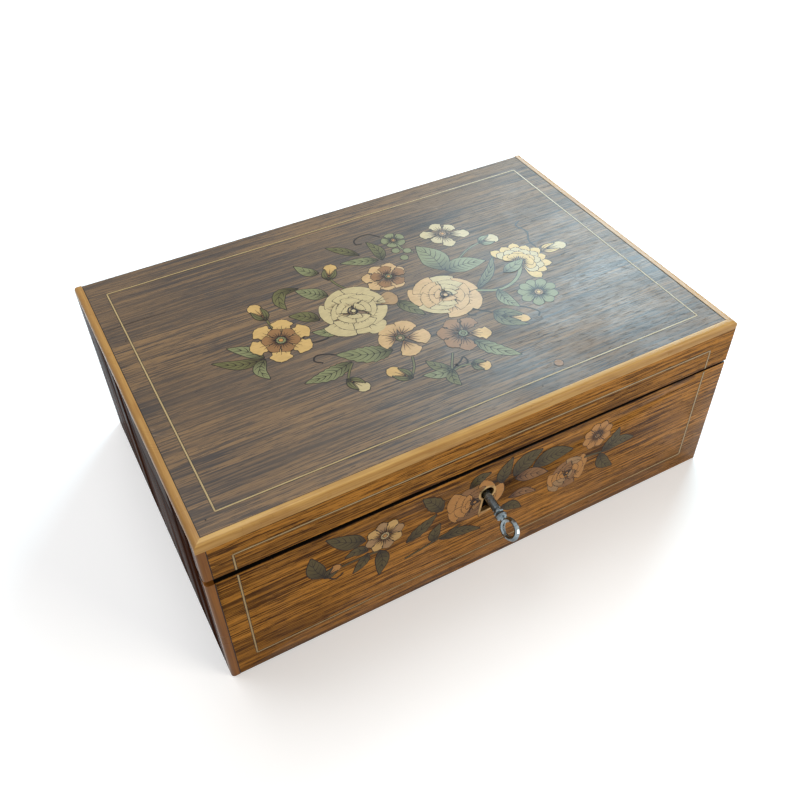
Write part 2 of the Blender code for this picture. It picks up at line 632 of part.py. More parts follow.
bit = block("key_bit", steel, (-KEY_BIT_REACH, -KEY_BORE_RADIUS - 0.0004),
            (-KEY_BIT_THICKNESS / 2, KEY_BIT_THICKNESS / 2),
            (-KEY_DEPTH + KEY_NOSE, -KEY_DEPTH + KEY_NOSE + KEY_BIT_LENGTH))
bit.data.transform(key_place)
join(lock_key, bit, ring_bow("key_bow", steel, BOW_LENGTH, BOW_WIDTH, BOW_WIRE_RADIUS,
                             key_place @ Matrix.Translation((0, 0, bow_middle))))

# ---- Movement bed --------------------------------------------------------------------------------------

bed_x = (bay_left + BEDPLATE_MARGIN, bay_right - BEDPLATE_MARGIN)
bed_y = (-BEDPLATE_DEPTH / 2, BEDPLATE_DEPTH / 2)
for word, start in (("left", bed_x[0] + BEDPLATE_MARGIN), ("right", bed_x[1] - BEDPLATE_MARGIN - BEARER_WIDTH)):
    block(f"{word}_bearer", pine, (start, start + BEARER_WIDTH), (bed_y[0] - BEARER_OVERHANG,
                                                                  bed_y[1] + BEARER_OVERHANG),
          (floor_top + SEAT, floor_top + SEAT + BEARER_HEIGHT))
bedplate = block("bedplate", brass, bed_x, bed_y, (bedplate_bottom, bedplate_top))
foot_z = bedplate_top + SEAT


def bridge(name, x, y, peak, foot_reach):
    """An upright brass plate with a foot on the bedplate, and its top corners taken off."""
    outline = [(y[0], foot_z), (y[1], foot_z), (y[1], peak - BRIDGE_CORNER), (y[1] - BRIDGE_CORNER, peak),
               (y[0] + BRIDGE_CORNER, peak), (y[0], peak - BRIDGE_CORNER)]
    upright = plate(name, brass, outline, x[1] - x[0], at((x[0], 0, 0), ALONG_X))
    join(upright, block(name + "_foot", brass, (x[0], x[1] + foot_reach), y, (foot_z, foot_z + BRIDGE)))
    return upright


def bore_x(name, radius, y, z, x, segments=16):
    """A cutter for a hole along X."""
    return turned(name, brass, rod_profile((radius, x[0], x[1])), at((0, y, z), ALONG_X), segments)


# ---- Cylinder ------------------------------------------------------------------------------------------

cylinder_x = (bay_left + CYLINDER_START, bay_left + CYLINDER_START + CYLINDER_LENGTH)
inner_bridge_x = (cylinder_x[0] - BRIDGE_GAP - BRIDGE, cylinder_x[0] - BRIDGE_GAP)
pinion_x = (inner_bridge_x[0] - PINION_GAP - GREAT_WHEEL_WIDTH, inner_bridge_x[0] - PINION_GAP)
cylinder_wheel_x = (cylinder_x[1] + WHEEL_GAP, cylinder_x[1] + WHEEL_GAP + TRAIN_WHEEL_WIDTH)
cock_x = (cylinder_wheel_x[1] + BRIDGE_GAP, cylinder_wheel_x[1] + BRIDGE_GAP + BRIDGE)
cylinder_axis = at((0, CYLINDER_Y, axis_z), ALONG_X)


def gear(teeth, module, phase=0.0, crest=0.22, base=0.52):
    """Outline of a straight-sided wheel. A tooth stands at the angle phase. crest and base are the tooth's
    widths as shares of the pitch."""
    points = []
    for number in range(teeth):
        for offset, height in ((-base / 2, -1.1), (-crest / 2, 0.8), (crest / 2, 0.8), (base / 2, -1.1)):
            angle = phase + math.tau * (number + offset) / teeth
            radius = module * (teeth / 2 + height)
            points.append((radius * math.cos(angle), radius * math.sin(angle)))
    return points


cylinder = turned("cylinder", brass, tube_profile(ARBOR_RADIUS + SEAT, CYLINDER_RADIUS, *cylinder_x),
                  cylinder_axis,
                  48)
cylinder_arbor = turned(
    "cylinder_arbor", steel,
    rod_profile((JOURNAL_RADIUS, pinion_x[0] - JOURNAL_RADIUS, cylinder_x[0] - WHEEL_GAP),
                (ARBOR_RADIUS, cylinder_x[0] - WHEEL_GAP, cylinder_wheel_x[1] + WHEEL_GAP),
                (JOURNAL_RADIUS, cylinder_wheel_x[1] + WHEEL_GAP, cock_x[1] + JOURNAL_TAIL)), cylinder_axis, 16)
half_pinion_pitch = math.pi / CYLINDER_PINION_TEETH
cylinder_pinion = plate("cylinder_pinion", steel, gear(CYLINDER_PINION_TEETH, DRIVE_MODULE, half_pinion_pitch),
                        GREAT_WHEEL_WIDTH, at((pinion_x[0], CYLINDER_Y, axis_z), ALONG_X),
                        hole=circle(JOURNAL_RADIUS + SEAT))
cylinder_wheel = plate("cylinder_wheel", brass, gear(CYLINDER_WHEEL_TEETH, TRAIN_MODULE), TRAIN_WHEEL_WIDTH,
                       at((cylinder_wheel_x[0], CYLINDER_Y, axis_z), ALONG_X), hole=circle(ARBOR_RADIUS + SEAT))

cock = bridge("cylinder_cock", cock_x, (CYLINDER_Y - COCK_HALF_WIDTH, CYLINDER_Y + COCK_HALF_WIDTH),
              axis_z + COCK_HALF_WIDTH, COCK_FOOT)
cut(cock, bore_x("cock_bore", JOURNAL_RADIUS + SEAT, CYLINDER_Y, axis_z, (cock_x[0] - over, cock_x[1] + over)))

# ---- Spring barrel and winding work --------------------------------------------------------------------

barrel_x = (pinion_x[0] - SEAT - BARREL_LENGTH, pinion_x[0] - SEAT)
outer_bridge_x = (barrel_x[0] - BARREL_GAP - BRIDGE, barrel_x[0] - BARREL_GAP)
ratchet_x = (outer_bridge_x[0] - RATCHET_GAP - RATCHET_WIDTH, outer_bridge_x[0] - RATCHET_GAP)
barrel_axis = at((0, barrel_y, axis_z), ALONG_X)

inner_bridge = bridge("inner_barrel_bridge", inner_bridge_x,
                      (CYLINDER_Y - INNER_BRIDGE_FRONT, barrel_y + INNER_BRIDGE_BACK), axis_z + INNER_BRIDGE_TOP,
                      BRIDGE)
cut(inner_bridge,
    bore_x("cylinder_left_bore", JOURNAL_RADIUS + SEAT, CYLINDER_Y, axis_z,
           (inner_bridge_x[0] - over, inner_bridge_x[1] + over)),
    bore_x("barrel_right_bore", JOURNAL_RADIUS + SEAT, barrel_y, axis_z,
           (inner_bridge_x[0] - over, inner_bridge_x[1] + over)))

click_pivot = Vector((barrel_y + CLICK_PIVOT[0], axis_z + CLICK_PIVOT[1]))
outer_bridge = bridge("outer_barrel_bridge", outer_bridge_x,
                      (barrel_y - OUTER_BRIDGE_FRONT, barrel_y + OUTER_BRIDGE_BACK), axis_z + OUTER_BRIDGE_TOP,
                      BRIDGE_FOOT)
join(outer_bridge, bore_x("click_stud", CLICK_STUD_RADIUS, click_pivot.x, click_pivot.y,
                          (ratchet_x[0] - 0.0004, outer_bridge_x[1] - BRIDGE / 2), 10))
cut(outer_bridge, bore_x("barrel_left_bore", ARBOR_RADIUS + SEAT, barrel_y, axis_z,
                         (outer_bridge_x[0] - over, outer_bridge_x[1] + over)))

spring_barrel = turned(
    "spring_barrel", brass,
    [(ARBOR_RADIUS + SEAT, barrel_x[0]), (BARREL_DRUM_RADIUS, barrel_x[0]), (BARREL_DRUM_RADIUS, barrel_x[1]),
     (BARREL_DRUM_RADIUS - BARREL_WALL, barrel_x[1]), (BARREL_DRUM_RADIUS - BARREL_WALL,
                                                       barrel_x[0] + BARREL_WALL),
     (ARBOR_RADIUS + SEAT, barrel_x[0] + BARREL_WALL)], barrel_axis, 40)
great_wheel = plate("great_wheel", brass, gear(GREAT_WHEEL_TEETH, DRIVE_MODULE, math.pi), GREAT_WHEEL_WIDTH,
                    at((pinion_x[0], barrel_y, axis_z), ALONG_X), hole=circle(ARBOR_RADIUS + SEAT))


def spiral(inner, outer, turns, thickness, steps):
    """Outline of a flat spiral strip, out along one side and back along the other."""
    def side(shift):
        return [((inner + (outer - inner) * i / steps + shift) * math.cos(math.tau * turns * i / steps),
                 (inner + (outer - inner) * i / steps + shift) * math.sin(math.tau * turns * i / steps))
                for i in range(steps + 1)]
    return side(thickness) + side(0)[::-1]


mainspring = plate("mainspring", steel,
                   spiral(ARBOR_RADIUS + 0.0009, BARREL_DRUM_RADIUS - BARREL_WALL - MAINSPRING_THICKNESS - SEAT,
                          MAINSPRING_TURNS, MAINSPRING_THICKNESS, MAINSPRING_TURNS * 18),
                   BARREL_LENGTH - BARREL_WALL - 0.002,
                   at((barrel_x[0] + BARREL_WALL + 0.001, barrel_y, axis_z), ALONG_X))

square_x = (bay_left - PARTITION - SQUARE_SETBACK - SQUARE_LENGTH, bay_left - PARTITION - SQUARE_SETBACK)
winding_arbor = turned(
    "winding_arbor", steel,
    rod_profile((ARBOR_RADIUS, square_x[1], inner_bridge_x[0] - SEAT),
                (JOURNAL_RADIUS, inner_bridge_x[0] - SEAT, inner_bridge_x[1] + 0.001)), barrel_axis, 16)
join(winding_arbor, block("winding_square", steel, (square_x[0], square_x[1] + 0.001),
                          (barrel_y - SQUARE / 2, barrel_y + SQUARE / 2), (axis_z - SQUARE / 2,
                                                                           axis_z + SQUARE / 2)))
ratchet_outline = []
for number in range(RATCHET_TEETH):
    for angle, radius in ((number, RATCHET_RADIUS), (number + 0.06, RATCHET_RADIUS - RATCHET_STEP)):
        turn = math.tau * angle / RATCHET_TEETH
        ratchet_outline.append((radius * math.cos(turn), radius * math.sin(turn)))
ratchet_wheel = plate("ratchet_wheel", steel, ratchet_outline, RATCHET_WIDTH,
                      at((ratchet_x[0], barrel_y, axis_z), ALONG_X), hole=circle(ARBOR_RADIUS + SEAT))

nose = Vector((barrel_y + (RATCHET_RADIUS + CLICK_CLEARANCE) * math.cos(math.radians(CLICK_NOSE_ANGLE)),
               axis_z + (RATCHET_RADIUS + CLICK_CLEARANCE) * math.sin(math.radians(CLICK_NOSE_ANGLE))))
click_outline = arc(click_pivot, CLICK_ROUND, -120, 100, 10) + [(nose.x - 0.0002, nose.y + 0.0016), (nose.x,
                                                                                                     nose.y)]
click = plate("click", steel, click_outline, RATCHET_WIDTH, at((ratchet_x[0], 0, 0), ALONG_X),
              hole=[(click_pivot.x + u, click_pivot.y + v) for u, v in circle(CLICK_STUD_RADIUS + SEAT, 10)])
spring_foot = (click_pivot.x - 0.0145, click_pivot.y + 0.0035)
spring_tip = (click_pivot.x - 0.0030, click_pivot.y + 0.0040)
click_spring = plate("click_spring", steel,
                     [(spring_foot[0], spring_foot[1] - 0.0012), (spring_foot[0] + 0.003,
                                                                  spring_foot[1] - 0.0012),
                      (spring_foot[0] + 0.003, spring_foot[1] + 0.0004), (spring_tip[0], spring_tip[1]),
                      (spring_tip[0], spring_tip[1] + 0.0005), (spring_foot[0] + 0.0024,
                                                                spring_foot[1] + 0.0012),
                      (spring_foot[0], spring_foot[1] + 0.0012)],
                     RATCHET_WIDTH + 0.0011, at((ratchet_x[0], 0, 0), ALONG_X))

key_mouth = square_x[1] - KEY_MOUTH_SETBACK
winding_key = turned(
    "winding_key", steel,
    [(0.0, key_mouth - WINDING_KEY_LENGTH), (WINDING_KEY_RADIUS * 0.6, key_mouth - WINDING_KEY_LENGTH),
     (WINDING_KEY_RADIUS, key_mouth - WINDING_KEY_LENGTH + 0.002), (WINDING_KEY_RADIUS, key_mouth),
     (SQUARE * math.sqrt(0.5) + SEAT, key_mouth), (SQUARE * math.sqrt(0.5) + SEAT, square_x[0] - SEAT),
     (0.0, square_x[0] - SEAT)], barrel_axis, 16)
winding_bow_x = key_mouth - WINDING_KEY_LENGTH - WINDING_BOW_RADIUS + 2 * WINDING_BOW_WIRE
join(winding_key, ring_bow("winding_bow", steel, 2 * WINDING_BOW_RADIUS, 2 * WINDING_BOW_RADIUS,
                           WINDING_BOW_WIRE,
                           at((winding_bow_x, barrel_y, axis_z))))

# ---- Comb ----------------------------------------------------------------------------------------------

comb_width = CYLINDER_LENGTH - 2 * COMB_MARGIN
comb_x = ((cylinder_x[0] + cylinder_x[1] - comb_width) / 2, (cylinder_x[0] + cylinder_x[1] + comb_width) / 2)
comb_tip = CYLINDER_Y - CYLINDER_RADIUS - PIN_REACH - COMB_TIP_CLEARANCE
comb_root = comb_tip - COMB_TOOTH
comb_back = comb_root - COMB_ROOT
comb_low = axis_z - COMB_THICKNESS / 2
pitch = comb_width / COMB_TEETH
comb_outline = [(comb_x[0], comb_back), (comb_x[1], comb_back)]
for number in reversed(range(COMB_TEETH)):
    low_x = comb_x[0] + number * pitch + COMB_SAW_CUT / 2
    high_x = comb_x[0] + (number + 1) * pitch - COMB_SAW_CUT / 2
    comb_outline += [(high_x, comb_root), (high_x, comb_tip), (low_x, comb_tip), (low_x, comb_root)]
comb = plate("comb", steel, comb_outline, COMB_THICKNESS, at((0, 0, comb_low)))
base_top = comb_low - SEAT
base_front = comb_back - COMB_FOOT_FRONT
base_back = comb_root + COMB_FOOT_BACK
base_root = comb_root - COMB_MARGIN
base_profile = [(base_front, foot_z), (base_back, foot_z), (base_back, foot_z + COMB_FOOT),
                (base_root, foot_z + COMB_FOOT * 1.5), (base_root, base_top), (comb_back, base_top),
                (comb_back, foot_z + COMB_FOOT * 1.5), (base_front, foot_z + COMB_FOOT)]
comb_base = plate("comb_base", brass, base_profile, comb_width, at((comb_x[0], 0, 0), ALONG_X))
screw_y = (comb_back + comb_root) / 2
for word, share in (("left", 0.1), ("middle", 0.5), ("right", 0.9)):
    screw_at = at((comb_x[0] + comb_width * share, screw_y, 0))
    turned(f"comb_screw_{word}", steel,
           rod_profile((COMB_SCREW_RADIUS, base_top - SCREW_GRIP, comb_low + COMB_THICKNESS + SEAT),
                       (COMB_SCREW_HEAD, comb_low + COMB_THICKNESS + SEAT,
                        comb_low + COMB_THICKNESS + COMB_SCREW_TOP)),
           screw_at, 12)
    for piece in (comb, comb_base):
        cut(piece, turned(f"{piece.name}_{word}_hole", steel,
                          rod_profile((COMB_SCREW_RADIUS + SEAT, base_top - SCREW_GRIP - SEAT, axis_z + over)),
                          screw_at, 12))

# ---- Governor ------------------------------------------------------------------------------------------

frame_left_x = cock_x[0] - FRAME_SETBACK
governor_wheel_x = frame_left_x + WHEEL_SETBACK
worm_x = governor_wheel_x + TRAIN_WHEEL_WIDTH / 2 - 0.00025
frame_right_x = frame_left_x + FRAME_LENGTH
wall_top = axis_z + 0.006
frame_base_top = foot_z + FRAME_BASE
frame_y = (governor_y - FRAME_FRONT, worm_y + FRAME_BACK)
fly_bottom = axis_z + TRAIN_MODULE * (GOVERNOR_WHEEL_TEETH / 2 + 0.8) + 0.0003
worm_top = fly_bottom + FLY_HEIGHT + 0.0012
cock_top = worm_top + 0.0016
governor_frame = block("governor_frame", brass, (frame_left_x, frame_right_x + FRAME_PLATE), frame_y,
                       (foot_z, frame_base_top))
sunk = 0.0005  # overlap that makes two blocks one body
wall_y = (governor_y - FRAME_FRONT, governor_y + 0.0045)
post_y = (worm_y + FLY_WIDTH / 2 + 0.001, frame_y[1])
post_x = (worm_x - 0.0035, worm_x + 0.0035)
join(governor_frame,
     block("frame_left_wall", brass, (frame_left_x, frame_left_x + FRAME_PLATE), wall_y,
           (frame_base_top - sunk, wall_top)),
     block("frame_right_wall", brass, (frame_right_x, frame_right_x + FRAME_PLATE), wall_y,
           (frame_base_top - sunk, wall_top)),
     block("frame_post", brass, post_x, post_y, (frame_base_top - sunk, cock_top)),
     block("frame_arm", brass, (worm_x - 0.0025, worm_x + 0.0025), (worm_y - 0.003, post_y[0] + sunk),
           (worm_top - 0.0001, cock_top)))
cut(governor_frame,
    bore_x("arbor_left_bore", GOVERNOR_ARBOR_RADIUS + SEAT, governor_y, axis_z,
           (frame_left_x - over, frame_left_x + FRAME_PLATE + SEAT), 12),
    bore_x("arbor_right_bore", PIVOT_RADIUS + SEAT, governor_y, axis_z,
           (frame_right_x - SEAT, frame_right_x + FRAME_PLATE + over), 12),
    turned("worm_lower_bore", brass, rod_profile((PIVOT_RADIUS + SEAT, frame_base_top - 0.0015, axis_z)),
           at((worm_x, worm_y, 0)), 12),
    turned("worm_upper_bore", brass, rod_profile((PIVOT_RADIUS + SEAT, worm_top - 0.002, worm_top + 0.0009)),
           at((worm_x, worm_y, 0)), 12))

governor_axis = at((0, governor_y, axis_z), ALONG_X)
governor_pinion_x = (cylinder_wheel_x[0] - 0.0005, cylinder_wheel_x[1] + 0.0005)
half_leaf = math.pi / GOVERNOR_PINION_TEETH
governor_pinion = turned(
    "governor_pinion", steel,
    rod_profile((GOVERNOR_ARBOR_RADIUS, governor_pinion_x[1] - 0.0008, frame_right_x - 0.0005),
                (PIVOT_RADIUS, frame_right_x - 0.0005, frame_right_x + FRAME_PLATE)), governor_axis, 12)
join(governor_pinion, plate("pinion_leaves", steel, gear(GOVERNOR_PINION_TEETH, TRAIN_MODULE, half_leaf, 0.2,
                                                         0.46),
                            governor_pinion_x[1] - governor_pinion_x[0],
                            at((governor_pinion_x[0], governor_y, axis_z), ALONG_X)))
governor_wheel = plate("governor_wheel", brass, gear(GOVERNOR_WHEEL_TEETH, TRAIN_MODULE, 0, 0.2, 0.45),
                       TRAIN_WHEEL_WIDTH * 0.75, at((governor_wheel_x, governor_y, axis_z), ALONG_X),
                       hole=circle(GOVERNOR_ARBOR_RADIUS + SEAT, 12))

worm_lead = math.pi * TRAIN_MODULE


def worm_radius(height, angle):
    """The shaft's radius on the threaded stretch. The thread has a gap level with the wheel's tooth at rest."""
    phase = (height / worm_lead - angle / math.tau + 0.25) % 1.0
    from_crest = min(phase, 1.0 - phase) * WORM_ROWS
    return WORM_RADIUS - (WORM_RADIUS - WORM_ROOT_RADIUS) * min(1.0, from_crest)


def threaded_shaft(name, look, low, high, place):
    """A shaft whose middle carries a one-start thread, with thin pivots at both ends."""
    shape = bmesh.new()
    rows = [(low, lambda angle: PIVOT_RADIUS), (low + 0.0012, lambda angle: PIVOT_RADIUS),
            (low + 0.0012, lambda angle: WORM_SHAFT_RADIUS)]
    last = WORM_TURNS * WORM_ROWS // 2
    step = worm_lead / WORM_ROWS
    rows.append((-(last + 1) * step, lambda angle: WORM_SHAFT_RADIUS))
    for row in range(-last, last + 1):
        rows.append((row * step, lambda angle, height=row * step: worm_radius(height, angle)))
    rows.append(((last + 1) * step, lambda angle: WORM_SHAFT_RADIUS))
    rows += [(high - 0.001, lambda angle: WORM_SHAFT_RADIUS), (high - 0.001, lambda angle: PIVOT_RADIUS),
             (high, lambda angle: PIVOT_RADIUS)]
    loops = []
    for height, radius in rows:
        angles = [math.tau * i / WORM_ROWS for i in range(WORM_ROWS)]
        loops.append([shape.verts.new((radius(a) * math.cos(a), radius(a) * math.sin(a),
                                       height)) for a in angles])
    for lower, upper in zip(loops, loops[1:]):
        for i in range(WORM_ROWS):
            shape.faces.new((lower[i - 1], lower[i], upper[i], upper[i - 1]))
    shape.faces.new(loops[0][::-1])
    shape.faces.new(loops[-1])
    bmesh.ops.triangulate(shape, faces=shape.faces)
    bmesh.ops.transform(shape, matrix=place, verts=shape.verts)
    return add_object(name, shape, look, smooth_angle=30)


governor_worm = threaded_shaft("governor_worm", steel, frame_base_top - 0.0011 - axis_z,
                               worm_top + 0.0006 - axis_z,
                               at((worm_x, worm_y, axis_z)))
fly_hub = WORM_SHAFT_RADIUS + SEAT
governor_fly = turned("governor_fly", brass, tube_profile(fly_hub, fly_hub + 0.001, fly_bottom + 0.001,
                                                          fly_bottom + FLY_HEIGHT - 0.001),
                      at((worm_x, worm_y, 0)), 12)
join(governor_fly, block("fly_vane", brass, (worm_x - FLY_THICKNESS / 2, worm_x + FLY_THICKNESS / 2),
                         (worm_y - FLY_WIDTH / 2, worm_y + FLY_WIDTH / 2), (fly_bottom,
                                                                            fly_bottom + FLY_HEIGHT)))
cut(governor_fly, turned("fly_bore", brass, rod_profile((fly_hub, fly_bottom - over,
                                                         fly_bottom + FLY_HEIGHT + over)),
                         at((worm_x, worm_y, 0)), 12))

# ---- Stop lever ----------------------------------------------------------------------------------------

lever_z = (foot_z + 0.0007, foot_z + 0.0007 + LEVER_THICKNESS)
lever_pivot = Vector((frame_right_x + FRAME_PLATE + 0.0016, CYLINDER_Y + 0.004))
fly_sweep = FLY_WIDTH / 2 + FINGER_CLEARANCE
post_at = Vector((lever_pivot.x + LEVER_POST, worm_y - 0.009))
to_fly = Vector((worm_x, worm_y)) - post_at
finger_length = to_fly.length - fly_sweep
join(bedplate, turned("lever_stud", brass, rod_profile((LEVER_STUD_RADIUS, bedplate_top - sunk,
                                                        lever_z[1] + 0.0006)),
                      at((*lever_pivot, 0)), 12))
handle_end = bay_right + PARTITION + HANDLE_REACH
stop_lever = turned("stop_lever", brass, rod_profile((LEVER_BOSS, *lever_z)), at((*lever_pivot, 0)), 16)
finger_z = (fly_bottom + 0.002, fly_bottom + 0.0036)
finger = block("lever_finger", brass, (0, finger_length), (-FINGER, FINGER), finger_z)
finger.data.transform(Matrix.Translation((*post_at, 0)) @ Matrix.Rotation(math.atan2(to_fly.y, to_fly.x), 4,
                                                                          "Z"))
join(stop_lever,
     block("lever_handle", brass, (lever_pivot.x, handle_end), (lever_pivot.y - LEVER_ARM,
                                                                lever_pivot.y + LEVER_ARM),
           lever_z),
     block("lever_tail", brass, (lever_pivot.x, post_at.x + LEVER_POST), (lever_pivot.y, post_at.y + LEVER_POST),
           lever_z),
     block("lever_post", brass, (post_at.x - LEVER_POST, post_at.x + LEVER_POST),
           (post_at.y - LEVER_POST, post_at.y + LEVER_POST), (lever_z[0], finger_z[1])),
     turned("lever_knob", brass, [(0.0, lever_z[0]), (0.0016, lever_z[0]), (0.0016, lever_z[1] + 0.002),
                                  (KNOB_RADIUS, lever_z[1] + 0.003), (KNOB_RADIUS, lever_z[1] + 0.005),
                                  (0.0, lever_z[1] + 0.006)], at((handle_end - 0.003, lever_pivot.y, 0)), 16),
     finger)
cut(stop_lever, turned("lever_bore", brass, rod_profile((LEVER_STUD_RADIUS + SEAT, lever_z[0] - over,
                                                         lever_z[1] + 0.0002)), at((*lever_pivot, 0)), 12))
cut(right_partition, block("lever_slot", pine, (bay_right - over, bay_right + PARTITION + over),
                           (lever_pivot.y - LEVER_ARM - SLOT_PLAY, lever_pivot.y + LEVER_ARM + SLOT_PLAY),
                           (lever_z[0] - 0.001, lever_z[1] + 0.001)))

# ---- Glass dust cover ----------------------------------------------------------------------------------

glass_z = (rim - GLASS_DROP - GLASS, rim - GLASS_DROP)
glass_y = (lock_back + GLASS_CLEARANCE, inner_y - GLASS_CLEARANCE)
glass_cover = block("glass_cover", glass, (bay_left + GLASS_CLEARANCE, bay_right - GLASS_CLEARANCE), glass_y,
                    glass_z)
ledge_top = glass_z[0] - SEAT
for word, start in (("left", bay_left + SEAT), ("right", bay_right - SEAT - LEDGE_WIDTH)):
    block(f"glass_ledge_{word}", pine, (start, start + LEDGE_WIDTH), (glass_y[0], inner_y - 2 * SEAT),
          (ledge_top - LEDGE_HEIGHT, ledge_top))

# ---- Moving bodies -------------------------------------------------------------------------------------

carry("lid_pivot", (0, hinge_y, hinge_z),
      [lid_panel, lid_front_rail, lid_back_rail, lid_left_rail, lid_right_rail, lid_front_edging,
       lid_left_edging,
       lid_right_edging, lid_corner_edging, lock_strike] + lid_leaves)
carry("lock_key_pivot", key_point, [lock_key])
carry("bolt_slide", (LOCK_X, bolt_front, bolt_bottom), [lock_bolt])
carry("cylinder_pivot", (cylinder_x[0], CYLINDER_Y, axis_z), [cylinder, cylinder_arbor, cylinder_pinion,
                                                              cylinder_wheel])
carry("barrel_pivot", (barrel_x[0], barrel_y, axis_z), [spring_barrel, great_wheel, mainspring])
carry("winding_pivot", (square_x[0], barrel_y, axis_z), [winding_arbor, ratchet_wheel])
carry("winding_key_slide", (key_mouth, barrel_y, axis_z), [winding_key])
carry("click_pivot", (ratchet_x[0], *click_pivot), [click])
carry("governor_pivot", (governor_wheel_x, governor_y, axis_z), [governor_pinion, governor_wheel])
carry("worm_pivot", (worm_x, worm_y, axis_z), [governor_worm, governor_fly])
carry("stop_lever_pivot", (*lever_pivot, lever_z[0]), [stop_lever])
carry("glass_slide", (0, 0, glass_z[0]), [glass_cover])
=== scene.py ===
"""A marquetry music box in rosewood veneer, with its lock, hinges, lining, cylinder movement and glass cover.

X runs across the front, Y from front to back and Z up, in metres. Each section makes one piece or group of
like pieces and its finish. Inlay is laid out in millimetres on the face that it lies on.
"""

import math
import random

import bmesh
import bpy
from mathutils import Matrix, Vector


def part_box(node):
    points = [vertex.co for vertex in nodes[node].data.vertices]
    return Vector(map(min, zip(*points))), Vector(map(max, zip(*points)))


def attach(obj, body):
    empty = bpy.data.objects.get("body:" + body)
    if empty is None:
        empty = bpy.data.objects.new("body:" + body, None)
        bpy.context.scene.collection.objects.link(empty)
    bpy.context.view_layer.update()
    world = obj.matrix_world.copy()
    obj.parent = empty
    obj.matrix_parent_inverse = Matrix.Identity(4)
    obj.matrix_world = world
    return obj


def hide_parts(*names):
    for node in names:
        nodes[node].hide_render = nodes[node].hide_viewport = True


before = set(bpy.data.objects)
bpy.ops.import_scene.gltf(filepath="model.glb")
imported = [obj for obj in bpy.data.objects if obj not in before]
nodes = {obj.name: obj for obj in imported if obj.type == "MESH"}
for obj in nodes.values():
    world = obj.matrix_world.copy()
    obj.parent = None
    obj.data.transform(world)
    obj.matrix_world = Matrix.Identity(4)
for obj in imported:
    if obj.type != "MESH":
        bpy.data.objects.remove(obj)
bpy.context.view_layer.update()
scene = bpy.context.scene
MM = 0.001

# ---- Studio --------------------------------------------------------------------------------------------
# The box stands on a plain white floor that fades into a white backdrop. A large soft lamp above and behind on
# the left lights it, and a tall window far behind on the right lies in the polish of the lid.

LENS = 38.77
CAMERA_PLACE = Vector((-0.1615, -0.3119, 0.3745))
CAMERA_TURN, CAMERA_RISE, CAMERA_ROLL = (math.radians(angle) for angle in (-27.98, 44.60, -1.03))

level = math.cos(CAMERA_RISE)
view_out = Vector((math.sin(CAMERA_TURN) * level, -math.cos(CAMERA_TURN) * level, math.sin(CAMERA_RISE)))
view_right = Vector((math.cos(CAMERA_TURN), math.sin(CAMERA_TURN), 0))
view_up = view_out.cross(view_right)
rolled_right = math.cos(CAMERA_ROLL) * view_right + math.sin(CAMERA_ROLL) * view_up
rolled_up = math.cos(CAMERA_ROLL) * view_up - math.sin(CAMERA_ROLL) * view_right
camera = bpy.data.objects.new("camera", bpy.data.cameras.new("camera"))
camera.data.lens = LENS
camera.data.clip_start = 0.01
camera.matrix_world = Matrix.Translation(CAMERA_PLACE) @ Matrix((rolled_right, rolled_up,
                                                                 view_out)).transposed().to_4x4()
scene.collection.objects.link(camera)
scene.camera = camera
scene.view_settings.view_transform = "Standard"


def node_maker(tree):
    """A function that adds a node to the tree."""
    def add(kind, links=None, **settings):
        """Adds a node. links maps an input's name or number to a value, a colour or another node's output."""
        node = tree.nodes.new(kind)
        for key, value in settings.items():
            setattr(node, key, value)
        for key, value in (links or {}).items():
            if isinstance(value, bpy.types.NodeSocket):
                tree.links.new(value, node.inputs[key])
            else:
                node.inputs[key].default_value = (*value, 1) if node.inputs[key].type == "RGBA" else value
        return node
    return add


def node_material(name):
    """An empty node material, and a function that adds a node to it."""
    look = bpy.data.materials.new(name)
    look.use_nodes = True
    look.node_tree.nodes.clear()
    return look, node_maker(look.node_tree)


def seen_by_eye_glass_and_polish(add):
    """1 for camera, glossy and transmission rays, 0 for the rays that light the object."""
    path = add("ShaderNodeLightPath")
    either = add("ShaderNodeMath", {0: path.outputs["Is Camera Ray"], 1: path.outputs["Is Glossy Ray"]},
                 operation="MAXIMUM")
    return add("ShaderNodeMath", {0: either.outputs[0], 1: path.outputs["Is Transmission Ray"]},
               operation="MAXIMUM").outputs[0]


WORLD_LIGHT = 0.27
world = bpy.data.worlds.new("studio_air")
scene.world = world
world.use_nodes = True
world.node_tree.nodes.clear()
add_air = node_maker(world.node_tree)
air_strength = add_air("ShaderNodeMapRange", {"Value": seen_by_eye_glass_and_polish(add_air),
                                              "To Min": WORLD_LIGHT, "To Max": 1.0})
air = add_air("ShaderNodeBackground", {"Color": (1, 1, 1), "Strength": air_strength.outputs[0]})
add_air("ShaderNodeOutputWorld", {"Surface": air.outputs[0]})

FLOOR_SIZE = 6.0
FLOOR_DROP = 0.0002  # so that the floor doesn't share the bottom's plane
FLOOR_GLOW = 0.34
FADE_START, FADE_END = 0.45, 1.5  # how far from the box the floor turns into the backdrop
floor_shape = bmesh.new()
bmesh.ops.create_grid(floor_shape, x_segments=1, y_segments=1, size=FLOOR_SIZE / 2,
                      matrix=Matrix.Translation((0, 0, -FLOOR_DROP)))
floor_mesh = bpy.data.meshes.new("studio_floor")
floor_shape.to_mesh(floor_mesh)
floor_shape.free()
floor = bpy.data.objects.new("studio_floor", floor_mesh)
scene.collection.objects.link(floor)
paper, add_paper = node_material("white_paper_floor")
paper_place = add_paper("ShaderNodeTexCoord").outputs["Object"]
paper_reach = add_paper("ShaderNodeVectorMath", {0: paper_place}, operation="LENGTH").outputs["Value"]
paper_fade = add_paper("ShaderNodeMapRange", {"Value": paper_reach, "From Min": FADE_START,
                                              "From Max": FADE_END}, interpolation_type="SMOOTHSTEP").outputs[0]
